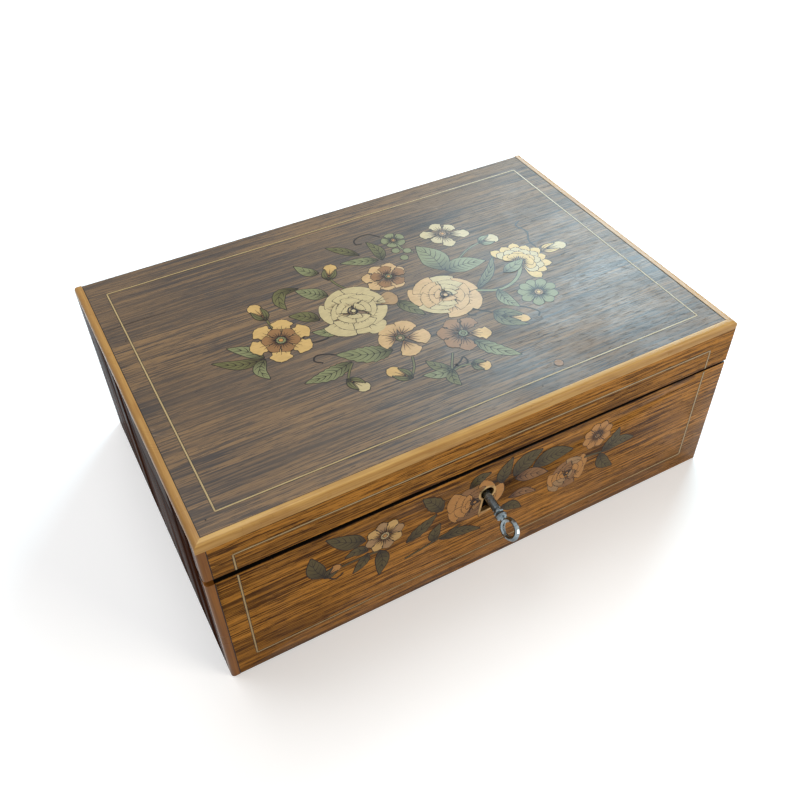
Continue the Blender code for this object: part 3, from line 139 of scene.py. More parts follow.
paper_tone = add_paper("ShaderNodeMix", {"Factor": paper_fade, 6: (0.8, 0.8, 0.8), 7: (0.1, 0.1, 0.1)},
                       data_type="RGBA").outputs[2]
paper_body = add_paper("ShaderNodeBsdfDiffuse", {"Color": paper_tone})
paper_level = add_paper("ShaderNodeMapRange", {"Value": paper_fade, "To Min": FLOOR_GLOW, "To Max": 0.98})
paper_glow = add_paper("ShaderNodeMath", {0: seen_by_eye_glass_and_polish(add_paper),
                                          1: paper_level.outputs[0]}, operation="MULTIPLY")
paper_light = add_paper("ShaderNodeEmission", {"Color": (1, 1, 1), "Strength": paper_glow.outputs[0]})
paper_sum = add_paper("ShaderNodeAddShader", {0: paper_body.outputs[0], 1: paper_light.outputs[0]})
add_paper("ShaderNodeOutputMaterial", {"Surface": paper_sum.outputs[0]})
floor_mesh.materials.append(paper)


def lamp(name, place, aim, size, watts, colour=(1, 1, 1)):
    """A soft rectangular lamp that faces the aim."""
    light = bpy.data.lights.new(name, "AREA")
    light.shape = "RECTANGLE"
    light.size, light.size_y = size
    light.energy = watts
    light.color = colour
    holder = bpy.data.objects.new(name, light)
    holder.matrix_world = (Matrix.Translation(place)
                           @ (Vector(aim) - Vector(place)).to_track_quat("-Z", "Y").to_matrix().to_4x4())
    scene.collection.objects.link(holder)


lamp("soft_box", (-0.3, 0.55, 1.7), (0, 0, 0.05), (1.2, 1.0), 18)
lamp("front_fill", (1.1, -1.35, 0.75), (0.05, -0.05, 0.04), (0.9, 0.7), 19, (1.0, 0.93, 0.82))
lamp("window", (0.93, 0.8, 0.9), (0.08, -0.02, 0.1), (0.8, 0.66), 24, (0.62, 0.87, 1.0))

# ---- Veneered boards -----------------------------------------------------------------------------------
# The case is six boards faced with rosewood veneer, French polished over open pores. Their arrises are rubbed
# round, the meeting rims of case and lid are stained black, with painted shade for the seam between them in
# the same black, and the inside is papered.


def new_group(name, inputs, outputs):
    """A shader node group with named inputs and outputs, a function that adds a node, and its inputs."""
    group = bpy.data.node_groups.new(name, "ShaderNodeTree")
    kinds = {"colour": "NodeSocketColor", "value": "NodeSocketFloat", "vector": "NodeSocketVector"}
    for way, sockets in (("INPUT", inputs), ("OUTPUT", outputs)):
        for socket, kind in sockets.items():
            group.interface.new_socket(name=socket, in_out=way, socket_type=kinds[kind])
    add = node_maker(group)
    return group, add, add("NodeGroupInput").outputs


def stretched_noise(add, place, scale, detail=4.0, roughness=0.55, distortion=0.0):
    """Noise drawn out by a different scale on each axis."""
    drawn = add("ShaderNodeVectorMath", {0: place, 1: scale}, operation="MULTIPLY")
    return add("ShaderNodeTexNoise", {"Vector": drawn.outputs[0], "Scale": 1.0, "Detail": detail,
                                      "Roughness": roughness, "Distortion": distortion}).outputs["Fac"]


def between(add, value, low, high, to_low=0.0, to_high=1.0):
    """The value from low to high carried smoothly to another range."""
    return add("ShaderNodeMapRange", {"Value": value, "From Min": low, "From Max": high, "To Min": to_low,
                                      "To Max": to_high}, interpolation_type="SMOOTHSTEP").outputs[0]


def blend_colours(add, share, first, second):
    """Mixes two colours, of which either may be a value or a socket."""
    return add("ShaderNodeMix", {"Factor": share, 6: first, 7: second}, data_type="RGBA").outputs[2]


def arithmetic(add, operation, first, second=0.0):
    """The outcome of one sum."""
    return add("ShaderNodeMath", {0: first, 1: second}, operation=operation).outputs[0]


def times(add, first, second):
    return arithmetic(add, "MULTIPLY", first, second)


def plus(add, first, second):
    return arithmetic(add, "ADD", first, second)


def surfaced(add, colour, roughness, height, strength, depth=0.0001, sheen=0.5, coat=0.0, coat_dullness=0.12,
             metal=0.0):
    """Ends a material with its surface, in fine relief."""
    relief = add("ShaderNodeBump", {"Strength": strength, "Distance": depth, "Height": height})
    surface = add("ShaderNodeBsdfPrincipled", {
        "Base Color": colour, "Metallic": metal, "Roughness": roughness, "Normal": relief.outputs[0],
        "Specular IOR Level": sheen, "Coat Weight": coat, "Coat Roughness": coat_dullness})
    add("ShaderNodeOutputMaterial", {"Surface": surface.outputs[0]})


# The grain runs along the vector's X.
grain, add_grain, grain_in = new_group(
    "veneer_grain", {"Place": "vector", "Light wood": "colour", "Dark wood": "colour"},
    {"Colour": "colour", "Height": "value", "Dullness": "value"})
OPEN_PORE = (0.012, 0.006, 0.004)
bands = stretched_noise(add_grain, grain_in["Place"], (5, 60, 60), 3, 0.6, 0.6)
streaks = stretched_noise(add_grain, grain_in["Place"], (9, 680, 680), 5, 0.7)
fine_lines = stretched_noise(add_grain, grain_in["Place"], (38, 1250, 1250), 3, 0.7)
pores = stretched_noise(add_grain, grain_in["Place"], (170, 3400, 3400), 1, 0.5)
clouds = stretched_noise(add_grain, grain_in["Place"], (18, 28, 28), 3, 0.5)
figure_share = plus(add_grain, times(add_grain, between(add_grain, streaks, 0.44, 0.58), 0.5),
                    times(add_grain, between(add_grain, bands, 0.4, 0.62), 0.5))
wood = blend_colours(add_grain, figure_share, grain_in["Light wood"], grain_in["Dark wood"])
line_share = times(add_grain, between(add_grain, fine_lines, 0.51, 0.57), 0.92)
wood = blend_colours(add_grain, line_share, wood, grain_in["Dark wood"])
wood = blend_colours(add_grain, between(add_grain, clouds, 0.35, 0.7, 0.0, 0.22), wood, grain_in["Light wood"])
pore_share = between(add_grain, pores, 0.6, 0.68)
wood = blend_colours(add_grain, times(add_grain, pore_share, 0.7), wood, OPEN_PORE)
grain_height = arithmetic(add_grain, "SUBTRACT", times(add_grain, streaks, 0.25), pore_share)
dullness = plus(add_grain, times(add_grain, clouds, 0.16), times(add_grain, pore_share, 0.2))
add_grain("NodeGroupOutput", {"Colour": wood, "Height": grain_height, "Dullness": dullness})

# Fine scratches where the polish has been rubbed, and a slow change in how dull it is.
wear, add_wear, wear_in = new_group("polish_wear", {"Place": "vector"},
                                    {"Scratches": "value", "Haze": "value"})
askew = add_wear("ShaderNodeVectorRotate", {"Vector": wear_in["Place"], "Angle": 0.5}, rotation_type="Z_AXIS")
long_cells = add_wear("ShaderNodeVectorMath", {0: askew.outputs[0], 1: (12, 260, 260)}, operation="MULTIPLY")
scratch_lines = add_wear("ShaderNodeTexVoronoi", {"Vector": long_cells.outputs[0], "Scale": 1.0},
                         feature="DISTANCE_TO_EDGE").outputs["Distance"]
marks = between(add_wear, scratch_lines, 0.0, 0.012, 1.0, 0.0)
rubbed = between(add_wear, stretched_noise(add_wear, wear_in["Place"], (34, 34, 34), 3, 0.5), 0.56, 0.7)
haze = between(add_wear, stretched_noise(add_wear, wear_in["Place"], (22, 22, 22), 4, 0.6), 0.3, 0.75)
add_wear("NodeGroupOutput", {"Scratches": times(add_wear, marks, rubbed), "Haze": haze})


def grained_place(add, along):
    """Object coordinates turned so that their X follows the grain, and the untouched coordinates."""
    own = add("ShaderNodeTexCoord")
    turn = {"X": (0, 0, 0), "Y": (0, 0, math.pi / 2), "Z": (0, math.pi / 2, 0)}[along]
    return add("ShaderNodeMapping", {"Vector": own.outputs["Object"], "Rotation": turn}).outputs[0], own


PAPER = 0.0004
LINED_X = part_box("right_board")[0].x + PAPER
LINED_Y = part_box("back_board")[0].y + PAPER
SCRATCH = (0.3, 0.2, 0.13)
# the black of the stained rims, which also paints the shade in the seam between lid and case
RIM_BLACK_AND_SEAM_SHADE = (0.008, 0.006, 0.005)
LINING = (0.33, 0.2, 0.11)
END_LIGHT = (0.075, 0.022, 0.008)
END_DARK = (0.014, 0.005, 0.003)


def veneer_material(name, light, dark, along="X", polish=0.22, sheen=0.04, rippled=0.0, black_rims_and_seam_shade=True,
                    papered=False):
    """Polished veneer. Faces that look up or down may be black, as stain and as painted seam shade, and faces
    inside the box papered.
    """
    look, add = node_material(name)
    place, own = grained_place(add, along)
    facing = add("ShaderNodeSeparateXYZ", {0: own.outputs["Normal"]})
    if along == "X":
        on_end = between(add, arithmetic(add, "ABSOLUTE", facing.outputs["X"]), 0.6, 0.8)
        place = add("ShaderNodeMix", {"Factor": on_end, 4: place, 5: grained_place(add, "Y")[0]},
                    data_type="VECTOR").outputs[1]
        light = blend_colours(add, on_end, light, END_LIGHT)
        dark = blend_colours(add, on_end, dark, END_DARK)
    figure = add("ShaderNodeGroup", {"Place": place, "Light wood": light, "Dark wood": dark},
                 node_tree=grain).outputs
    worn = add("ShaderNodeGroup", {"Place": own.outputs["Object"]}, node_tree=wear).outputs
    colour = blend_colours(add, times(add, worn["Scratches"], 0.25), figure["Colour"], SCRATCH)
    roughness = plus(add, figure["Dullness"], plus(add, times(add, worn["Haze"], 0.12), polish))
    # faces that look up or down turn black: the stained rims, and painted shade in the seam between lid and
    # case
    if black_rims_and_seam_shade:
        level = arithmetic(add, "ABSOLUTE", facing.outputs["Z"])
        colour = blend_colours(add, between(add, level, 0.55, 0.75), colour, RIM_BLACK_AND_SEAM_SHADE)
    if papered:
        spot = add("ShaderNodeSeparateXYZ", {0: own.outputs["Object"]})
        in_x = arithmetic(add, "LESS_THAN", arithmetic(add, "ABSOLUTE", spot.outputs["X"]), LINED_X)
        in_y = arithmetic(add, "LESS_THAN", arithmetic(add, "ABSOLUTE", spot.outputs["Y"]), LINED_Y)
        inside = times(add, in_x, in_y)
        colour = blend_colours(add, inside, colour, LINING)
        roughness = add("ShaderNodeMix", {"Factor": inside, "A": roughness, "B": 0.75}).outputs[0]
    ripples = between(add, stretched_noise(add, place, (62, 5, 5), 1, 0.4), 0.36, 0.66, 0.0, rippled)
    surfaced(add, colour, roughness, figure["Height"], 0.25, 0.00012, sheen, ripples)
    return look


def give(piece, look):
    """Puts one material on every slot of a piece."""
    if not piece.material_slots:
        piece.data.materials.append(look)
    for place in piece.material_slots:
        place.material = look
    return piece


def piece_from(name, shape, look, body, replaced=(), smooth=None):
    """Makes a finished piece from a bmesh, faces pointing out, riding on a body."""
    bmesh.ops.recalc_face_normals(shape, faces=shape.faces)
    mesh = bpy.data.meshes.new(name)
    shape.to_mesh(mesh)
    shape.free()
    mesh.materials.append(look)
    if smooth is not None:
        mesh.shade_smooth()
        mesh.set_sharp_from_angle(angle=math.radians(smooth))
    piece = bpy.data.objects.new(name, mesh)
    scene.collection.objects.link(piece)
    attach(piece, body)
    if replaced:
        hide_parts(*replaced)
    return piece


def rounded(shape, arrises, offset, segments=4):
    """Rubs the given arrises round."""
    bmesh.ops.bevel(shape, geom=arrises, offset=offset, segments=segments, profile=0.5, affect="EDGES",
                    material=-1)


NEAR = 2e-5  # closer than this counts as touching


def merged(node, move=None):
    """A copy of a node's mesh without doubled corners or needless edges. move may shift each corner first."""
    shape = bmesh.new()
    shape.from_mesh(nodes[node].data)
    bmesh.ops.remove_doubles(shape, verts=shape.verts, dist=2e-6)
    for corner in shape.verts if move else ():
        move(corner.co)
    bmesh.ops.dissolve_limit(shape, angle_limit=math.radians(0.5), verts=shape.verts, edges=shape.edges)
    return shape


def softened(node, round_off, least_length):
    """A copy of a node with its long outer arrises rubbed round."""
    shape = merged(node)
    low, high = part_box(node)
    arrises = []
    for edge in shape.edges:
        on_box = sum(all(abs(v.co[axis] - limit[axis]) < NEAR for v in edge.verts)
                     for axis in range(3) for limit in (low, high))
        if edge.calc_length() > least_length and edge.is_convex and on_box >= 2:
            arrises.append(edge)
    rounded(shape, arrises, round_off, 2)
    return shape


CASE_LIGHT = (0.42, 0.18, 0.03)
CASE_DARK = (0.034, 0.011, 0.003)
front_veneer = veneer_material("front_veneer", CASE_LIGHT, CASE_DARK, rippled=0.06, papered=True)
back_veneer = veneer_material("back_veneer", (0.16, 0.062, 0.026), (0.045, 0.016, 0.009), papered=True)
end_veneer = veneer_material("end_veneer", END_LIGHT, END_DARK, along="Y", sheen=0.0, rippled=0.16,
                             papered=True)
ARRIS = 0.0004
for node, look in (("front_board", front_veneer), ("back_board", back_veneer), ("left_board", end_veneer),
                   ("right_board", end_veneer)):
    piece_from(f"{node}_veneered", softened(node, ARRIS, 0.03), look, "case", [node],
               smooth=40)

# ---- Lid -----------------------------------------------------------------------------------------------
# Four veneered rails under a veneered top. The rails run up to the top with no visible joint. Their warped
# lower edges are stained black, which also paints the shade of the seam, and their inner faces are papered.

PANEL_DROP = 0.00022  # from the edging's top to the veneer, which the inlay nearly fills
CEILING = 0.002
lid_low, lid_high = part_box("lid_panel")
edging_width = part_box("lid_left_edging")[1].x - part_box("lid_left_edging")[0].x
edging_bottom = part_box("lid_front_edging")[0].z
rail_top_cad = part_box("lid_back_rail")[1].z
joint_z = edging_bottom - 0.0001
lid_top_z = lid_high.z - PANEL_DROP

top_veneer = veneer_material("lid_top_veneer", (0.175, 0.09, 0.03), (0.011, 0.0055, 0.004), polish=0.3,
                             sheen=0.34, black_rims_and_seam_shade=False)


def up_to_the_joint(corner):
    """Carries the top of a rail up to the edging."""
    if corner.z > rail_top_cad - NEAR:
        corner.z = joint_z


lid_front_veneer = veneer_material("lid_front_veneer", CASE_LIGHT, CASE_DARK, papered=True)
for node, look in (("lid_front_rail", lid_front_veneer), ("lid_back_rail", back_veneer),
                   ("lid_left_rail", end_veneer), ("lid_right_rail", end_veneer)):
    piece_from(f"{node}_veneered", merged(node, up_to_the_joint), look, "lid", [node])


def slab(low, high):
    """A bmesh block between two corners."""
    shape = bmesh.new()
    bmesh.ops.create_cube(shape, size=1.0)
    bmesh.ops.scale(shape, vec=high - low, verts=shape.verts)
    bmesh.ops.translate(shape, vec=(low + high) / 2, verts=shape.verts)
    return shape


panel_low = Vector((lid_low.x + edging_width, lid_low.y + edging_width, joint_z))
panel_high = Vector((lid_high.x - edging_width, lid_high.y, lid_top_z))
lid_top = slab(panel_low, panel_high)
back_arris = [edge for edge in lid_top.edges if all(v.co.y > panel_high.y - 1e-5 and v.co.z > lid_top_z - 1e-5
                                                    for v in edge.verts)]
rounded(lid_top, back_arris, 0.0006, 3)
piece_from("lid_top_veneered", lid_top, top_veneer, "lid", ["lid_panel"], smooth=40)

# ---- Paper lining --------------------------------------------------------------------------------------
# Plain paper in a warm tan is pasted to the lid's ceiling. It has a soft texture and brown foxing spots.

lining_paper, add_lining = node_material("lining_paper")
own_place = add_lining("ShaderNodeTexCoord").outputs["Object"]
fibres = stretched_noise(add_lining, own_place, (900, 900, 900), 4, 0.6)
foxing = stretched_noise(add_lining, own_place, (45, 45, 45), 5, 0.65)
lining_tone = (0.36, 0.22, 0.12)
for spots, low, high, most in ((fibres, 0.3, 0.7, 0.25), (foxing, 0.58, 0.75, 0.6)):
    lining_tone = blend_colours(add_lining, between(add_lining, spots, low, high, 0.0, most), lining_tone,
                                (0.2, 0.1, 0.05))
surfaced(add_lining, lining_tone, 0.85, fibres, 0.3)
ceiling_low = Vector((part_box("lid_left_rail")[1].x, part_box("lid_front_rail")[1].y, joint_z - CEILING))
ceiling_high = Vector((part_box("lid_right_rail")[0].x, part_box("lid_back_rail")[0].y, joint_z))
piece_from("lid_ceiling_paper", slab(ceiling_low, ceiling_high), lining_paper, "lid")

# ---- Boxwood edging ------------------------------------------------------------------------------------
# Square boxwood strips are glued into rebates along the lid's front and ends and up the front-left corner.
# They are mitred where they meet, rounded on the outer arris and worn shiny.


def boxwood_material(name, pale, brown, along):
    """Silky boxwood, browned in patches and with dark scratches."""
    look, add = node_material(name)
    place, own = grained_place(add, along)
    silk = stretched_noise(add, place, (20, 900, 900), 4, 0.6)
    patches = stretched_noise(add, place, (26, 70, 70), 3, 0.55)
    tone = blend_colours(add, between(add, silk, 0.35, 0.7, 0.0, 0.55), pale, brown)
    tone = blend_colours(add, between(add, patches, 0.52, 0.72, 0.0, 0.55), tone, brown)
    worn = add("ShaderNodeGroup", {"Place": own.outputs["Object"]}, node_tree=wear).outputs
    tone = blend_colours(add, times(add, worn["Scratches"], 0.5), tone, (0.1, 0.04, 0.015))
    roughness = plus(add, times(add, worn["Haze"], 0.15), 0.26)
    surfaced(add, tone, roughness, silk, 0.2, sheen=0.12, coat=0.06)
    return look


BOX_PALE = (0.5, 0.29, 0.09)
BOX_BROWN = (0.24, 0.1, 0.022)
boxwood_x = boxwood_material("boxwood_edging_front", BOX_PALE, BOX_BROWN, "X")
boxwood_y = boxwood_material("boxwood_edging_sides", (0.4, 0.21, 0.06), BOX_BROWN, "Y")
# the upright corner strips get darker boxwood tones: painted shade for the shadowed left side of the box
boxwood_corner_painted_shade = boxwood_material("boxwood_edging_corner_painted_shade", (0.25, 0.095, 0.016), (0.1, 0.03, 0.006), "Z")
EDGING_ARRIS = 0.0017


def drawn_out(shape, faces):
    """Extrudes the faces and gives the corners of their copies."""
    made = bmesh.ops.extrude_face_region(shape, geom=faces)["geom"]
    return [item for item in made if isinstance(item, bmesh.types.BMVert)]


def edging_strip(node, start, end, inward, mitre_start, mitre_end, look):
    """A square strip from start to end along the lid's upper outer edge. inward points at the panel, and a
    mitre shortens the inner side at that end."""
    along = (end - start).normalized()
    shape = bmesh.new()
    ring = []
    for offset, rise in ((0, 0), (1, 0), (1, 1), (0, 1)):
        ring.append(shape.verts.new(start + inward * edging_width * offset
                                    + Vector((0, 0, rise * (lid_high.z - joint_z)))
                                    + along * edging_width * offset * mitre_start))
    section = shape.faces.new(ring)
    run = end - start
    for corner in drawn_out(shape, [section]):
        inside = (corner.co - start).dot(inward) > edging_width / 2
        corner.co += run - along * (edging_width * (mitre_start + mitre_end) if inside else 0)
    outer_top = [edge for edge in shape.edges
                 if all(v.co.z > lid_high.z - 1e-5 and (v.co - start).dot(inward) < 1e-5 for v in edge.verts)]
    rounded(shape, outer_top, EDGING_ARRIS)
    piece_from(f"{node}_mitred", shape, look, "lid", [node], smooth=40)


front_left = Vector((lid_low.x, lid_low.y, joint_z))
front_right = Vector((lid_high.x, lid_low.y, joint_z))
back_left = Vector((lid_low.x, lid_high.y, joint_z))
back_right = Vector((lid_high.x, lid_high.y, joint_z))
edging_strip("lid_front_edging", front_left, front_right, Vector((0, 1, 0)), 1, 1, boxwood_x)
edging_strip("lid_left_edging", front_left, back_left, Vector((1, 0, 0)), 1, 0, boxwood_y)
edging_strip("lid_right_edging", front_right, back_right, Vector((-1, 0, 0)), 1, 0, boxwood_y)


def corner_strip(name, node, body, top_z):
    """An upright strip in the front-left corner, its outer arris well rounded."""
    low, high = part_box(node)
    shape = slab(low, Vector((high.x, high.y, top_z)))
    outer = [edge for edge in shape.edges
             if all(v.co.x < low.x + 1e-5 and v.co.y < low.y + 1e-5 for v in edge.verts)]
    rounded(shape, outer, EDGING_ARRIS)
    piece_from(name, shape, boxwood_corner_painted_shade, body, [node], smooth=40)


corner_strip("case_corner_strip", "case_corner_edging", "case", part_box("case_corner_edging")[1].z)
corner_strip("lid_corner_strip", "lid_corner_edging", "lid", joint_z)

# ---- Stringing -----------------------------------------------------------------------------------------
# A single pale line of boxwood, between two hairlines of black, is let into the lid's top and across both
# parts of the front as a rectangle.

lid_face = Matrix(((MM, 0, 0, 0), (0, MM, 0, 0), (0, 0, MM, lid_top_z), (0, 0, 0, 1)))
case_front_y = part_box("front_board")[0].y
front_face = Matrix(((MM, 0, 0, 0), (0, 0, -MM, case_front_y), (0, MM, 0, 0), (0, 0, 0, 1)))
# a face that inlay lies on and the body that it rides
LID_TOP, LID_FRONT, CASE_FRONT = (lid_face, "lid"), (front_face, "lid"), (front_face, "case")


def inlay_wood(name, wood_colour, burnt, gloss=0.3):
    """A piece of inlay veneer, scorched in hot sand towards its root. The mesh carries how far as "scorch"."""
    look, add = node_material(name)
    own = add("ShaderNodeTexCoord").outputs["Object"]
    cells = stretched_noise(add, own, (260, 1500, 900), 4, 0.65)
    mottle = stretched_noise(add, own, (150, 170, 160), 3, 0.5)
    darker = tuple(0.62 * channel for channel in wood_colour)
    tone = blend_colours(add, between(add, cells, 0.3, 0.75, 0.0, 0.5), wood_colour, darker)
    tone = blend_colours(add, between(add, mottle, 0.42, 0.72, 0.0, 0.3), tone, darker)
    scorch = add("ShaderNodeAttribute", attribute_name="scorch").outputs["Fac"]
    tone = blend_colours(add, between(add, scorch, 0.1, 1.0, 0.0, 0.95), tone, burnt)
    surfaced(add, tone, gloss, cells, 0.2, sheen=0.14, coat=0.04, coat_dullness=0.15)
    return look


SCORCHED = (0.05, 0.022, 0.01)
woods = {
    "cream": inlay_wood("inlay_cream", (0.47, 0.36, 0.185), (0.13, 0.06, 0.02)),
    "peach": inlay_wood("inlay_peach", (0.5, 0.31, 0.14), (0.13, 0.05, 0.018)),
    "orange": inlay_wood("inlay_orange", (0.44, 0.205, 0.055), (0.1, 0.035, 0.01)),
    "honey": inlay_wood("inlay_honey", (0.52, 0.32, 0.115), (0.14, 0.055, 0.016)),
    "russet": inlay_wood("inlay_russet", (0.25, 0.12, 0.045), (0.06, 0.022, 0.01)),
    "mint": inlay_wood("inlay_mint", (0.19, 0.185, 0.085), (0.045, 0.036, 0.014)),
    "olive": inlay_wood("inlay_olive", (0.125, 0.11, 0.04), (0.035, 0.024, 0.009)),
    "moss": inlay_wood("inlay_moss", (0.085, 0.062, 0.02), (0.026, 0.016, 0.006)),
    "tan": inlay_wood("inlay_tan", (0.34, 0.2, 0.09), (0.12, 0.055, 0.02)),
    "yellow": inlay_wood("inlay_yellow", (0.55, 0.36, 0.12), (0.22, 0.1, 0.03)),
    "black": inlay_wood("inlay_black", (0.016, 0.009, 0.006), SCORCHED, 0.35),
    "box": inlay_wood("inlay_boxwood_line", (0.4, 0.28, 0.13), (0.25, 0.12, 0.04)),
}
inlays = {}
escutcheon_low, escutcheon_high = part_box("keyhole_escutcheon")
escutcheon_middle = (escutcheon_low + escutcheon_high) / 2 / MM
KEYHOLE = Vector((escutcheon_middle.x, escutcheon_middle.z))
KEYHOLE_CLEARING = 11  # inlay that comes nearer to the keyhole than this is cut round the escutcheon


def inlay_shape(body, wood):
    """The bmesh that gathers one wood's inlay on one body, with its scorch layer."""
    if (body, wood) not in inlays:
        shape = bmesh.new()
        inlays[(body, wood)] = (shape, shape.verts.layers.float.new("scorch"))
    return inlays[(body, wood)]


def strip(on, wood, middle, half_width, height, steps=8, across=2, scorch=(0.0, 0.0), cut_tip=0.0):
    """One thin piece of inlay. middle(t) is its middle line in millimetres and half_width(t) its half width.
    scorch is how burnt it is at its root and at its tip."""
    face, body = on
    points = [middle(i / steps) for i in range(steps + 1)]
    near_lock = body == "case" and min((point - KEYHOLE).length for point in points) < KEYHOLE_CLEARING
    shape, burn = inlay_shape("case", f"{wood}_round_keyhole") if near_lock else inlay_shape(body, wood)
    made = bmesh.ops.create_grid(shape, x_segments=steps, y_segments=across, size=1.0)["verts"]
    for corner in made:
        t = (corner.co.x + 1) / 2
        side = corner.co.y
        step = round(t * steps)
        ahead = points[min(steps, step + 1)] - points[max(0, step - 1)]
        normal = Vector((-ahead.y, ahead.x)).normalized()
        dent = -ahead.normalized() * cut_tip * (1 - abs(side)) * max(0.0, (t - 0.55) / 0.45) ** 2
        spot = points[step] + normal * side * half_width(t) + dent
        corner.co = (spot.x, spot.y, 0)
        corner[burn] = scorch[0] + (scorch[1] - scorch[0]) * min(1.0, t * 1.6)
    # a dict, since a set would hand the faces over in another order each run
    faces = list(dict.fromkeys(face_of for corner in made for face_of in corner.link_faces))
    lifted = drawn_out(shape, faces)
    bmesh.ops.translate(shape, vec=(0, 0, height), verts=lifted)
    bmesh.ops.transform(shape, matrix=face, verts=made + lifted)


def line_between(start, end):
    start, end = Vector(start), Vector(end)
    return lambda t: start.lerp(end, t)


def straight(on, wood, start, end, half, height=0.03):
    """A straight line of inlay of one width."""
    strip(on, wood, line_between(start, end), lambda t: half, height, 2, 1)


def string_line(on, start, end):
    """A straight stretch of stringing with its black hairlines."""
    straight(on, "black", start, end, 0.6)
    straight(on, "box", start, end, 0.36, 0.06)


TOP_INSET = 13.8
FRONT_INSET = 14.0
FRONT_LOW, FRONT_HIGH = 11.0, 87.0
GAP_RISE = 1.9  # from the lid's lowest rim to the string's end over the gap at the left
GAP_NARROWING = 1.8  # how much lower that end is at the right, where the warped lid lies nearer to the case
half_length = lid_high.x / MM
half_depth = lid_high.y / MM
left, right = -half_length + TOP_INSET, half_length - TOP_INSET
near, far = -half_depth + TOP_INSET, half_depth - TOP_INSET
corners = ((left, near), (right, near), (right, far), (left, far))
for number, start in enumerate(corners):
    string_line(LID_TOP, start, corners[(number + 1) % 4])
case_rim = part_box("front_board")[1].z / MM - 0.5
lid_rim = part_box("lid_front_rail")[0].z / MM
left, right = -half_length + FRONT_INSET, half_length - FRONT_INSET
for x in (left, right):
    string_line(CASE_FRONT, (x, FRONT_LOW), (x, case_rim))
    gap_end = lid_rim + GAP_RISE - (x + half_length) * GAP_NARROWING / (2 * half_length)
    string_line(LID_FRONT, (x, gap_end), (x, FRONT_HIGH))
string_line(CASE_FRONT, (left, FRONT_LOW), (right, FRONT_LOW))
string_line(LID_FRONT, (left, FRONT_HIGH), (right, FRONT_HIGH))

# black glue lines beside the edging
edge_in = half_length - edging_width / MM
glued_x, glued_near, glued_far = edge_in - 0.2, -half_depth + 4.2, half_depth - 0.6
for start, end in (((-glued_x, glued_near), (-glued_x, glued_far)), ((glued_x, glued_near), (glued_x,
                                                                                             glued_far)),
                   ((-glued_x, glued_near), (glued_x, glued_near))):
    straight(LID_TOP, "black", start, end, 0.19)
straight(CASE_FRONT, "black", (-edge_in + 0.1, 0.6), (-edge_in + 0.1, case_rim), 0.22)
straight(LID_FRONT, "black", (-edge_in + 0.1, lid_rim + 1.6), (-edge_in + 0.1, 95.6), 0.22)

# ---- Marquetry -----------------------------------------------------------------------------------------
# Flowers, leaves and buds are sawn from dyed and natural veneers. Each root is scorched in hot sand, black saw
# lines stand round every piece, and veins are engraved and filled black.

LAYER = 0.022  # how much higher each layer lies
PIECE_STEP = 0.0003  # how much higher each piece lies than the one laid before it
SAW_LINE = 0.4
VEIN = 0.22


def curve_through(points):
    """A smooth path through points, as a function of 0 to 1."""
    knots = [Vector(point) for point in points]
    knots = [knots[0] * 2 - knots[1]] + knots + [knots[-1] * 2 - knots[-2]]
    spans = len(knots) - 3

    def path(t):
        span = min(spans - 1, max(0, int(t * spans)))
        u = t * spans - span
        a, b, c, d = knots[span:span + 4]
        return 0.5 * (2 * b + (c - a) * u + (2 * a - 5 * b + 4 * c - d) * u ** 2
                      + (3 * b - a - 3 * c + d) * u ** 3)
    return path


def longer(path, extra):
    """The same path run on by extra at both ends."""
    start, end = path(0.0), path(1.0)
    back = (start - path(0.08)).normalized() * extra
    ahead = (end - path(0.92)).normalized() * extra

    def run(t):
        if t <= 0.0:
            return start + back
        if t >= 1.0:
            return end + ahead
        return path(t)
    return run


def leaf_width(width, teeth=0, fullness=0.9):
    """Half width of a leaf, pointed at its tip, with saw teeth if asked."""
    def half(t):
        smooth = width / 2 * math.sin(math.pi * min(1.0, max(0.0, t)) ** 0.85) ** fullness
        notch = 1 - 0.22 * (1 - (t * teeth) % 1.0) if teeth and 0 < t < 1 else 1
        return max(0.0, smooth * notch)
    return half


def petal_width(width, frill=0.0):
    """Half width of a petal, broadest past its middle, with a round or a frilled edge."""
    def half(t):
        smooth = width / 2 * max(0.0, math.sin(math.pi * min(1.0, max(0.0, t)) ** 1.9)) ** 0.6
        return smooth * (1 - frill * (0.5 + 0.5 * math.cos(math.tau * 3.4 * t))) if t > 0.45 else smooth
    return half


laid = []  # the name of each piece laid so far, so that no two lie at exactly one height


def height_of(layer):
    return LAYER * layer + PIECE_STEP * (len(laid) % 250)


def patch(on, wood, path, half, layer, steps=10, scorch=(1.0, 0.0), cut_tip=0.0):
    """A sawn piece with its black saw line."""
    laid.append(wood)
    ground = height_of(layer)
    strip(on, "black", longer(path, SAW_LINE), lambda t: half(t) + SAW_LINE, ground + 0.012, steps, 2,
          cut_tip=cut_tip)
    strip(on, wood, path, half, ground + 0.022, steps, 2, scorch, cut_tip)


def vein(on, start, end, layer, width=VEIN, bow=0.0):
    """An engraved line between two points, bowed to one side."""
    start, end = Vector(start), Vector(end)
    across = Vector((start.y - end.y, end.x - start.x))
    path = curve_through([start, (start + end) / 2 + across * bow, end])
    strip(on, "black", path, lambda t: width * (1 - 0.6 * t), height_of(layer) + 0.03, 3, 1)


def leaf(on, wood, points, width, veins=4, teeth=0, layer=0):
    """A leaf along the given points from its root, with midrib and side veins."""
    path = curve_through(points)
    half = leaf_width(width, teeth)
    steps = max(10, 3 * teeth)
    patch(on, wood, path, half, layer, steps, scorch=(0.9, 0.0))
    strip(on, "black", lambda t: path(0.9 * t), lambda t: 0.2 * (1 - 0.7 * t), height_of(layer) + 0.03, 8, 1)
    for number in range(veins):
        root = 0.12 + 0.72 * number / veins
        end = min(0.97, root + 0.17)
        ahead = (path(min(1.0, end + 0.03)) - path(end - 0.03)).normalized()
        normal = Vector((-ahead.y, ahead.x))
        for side in (-1, 1):
            vein(on, path(root), path(end) + normal * side * half(end) * 0.78, layer, bow=0.08 * side)


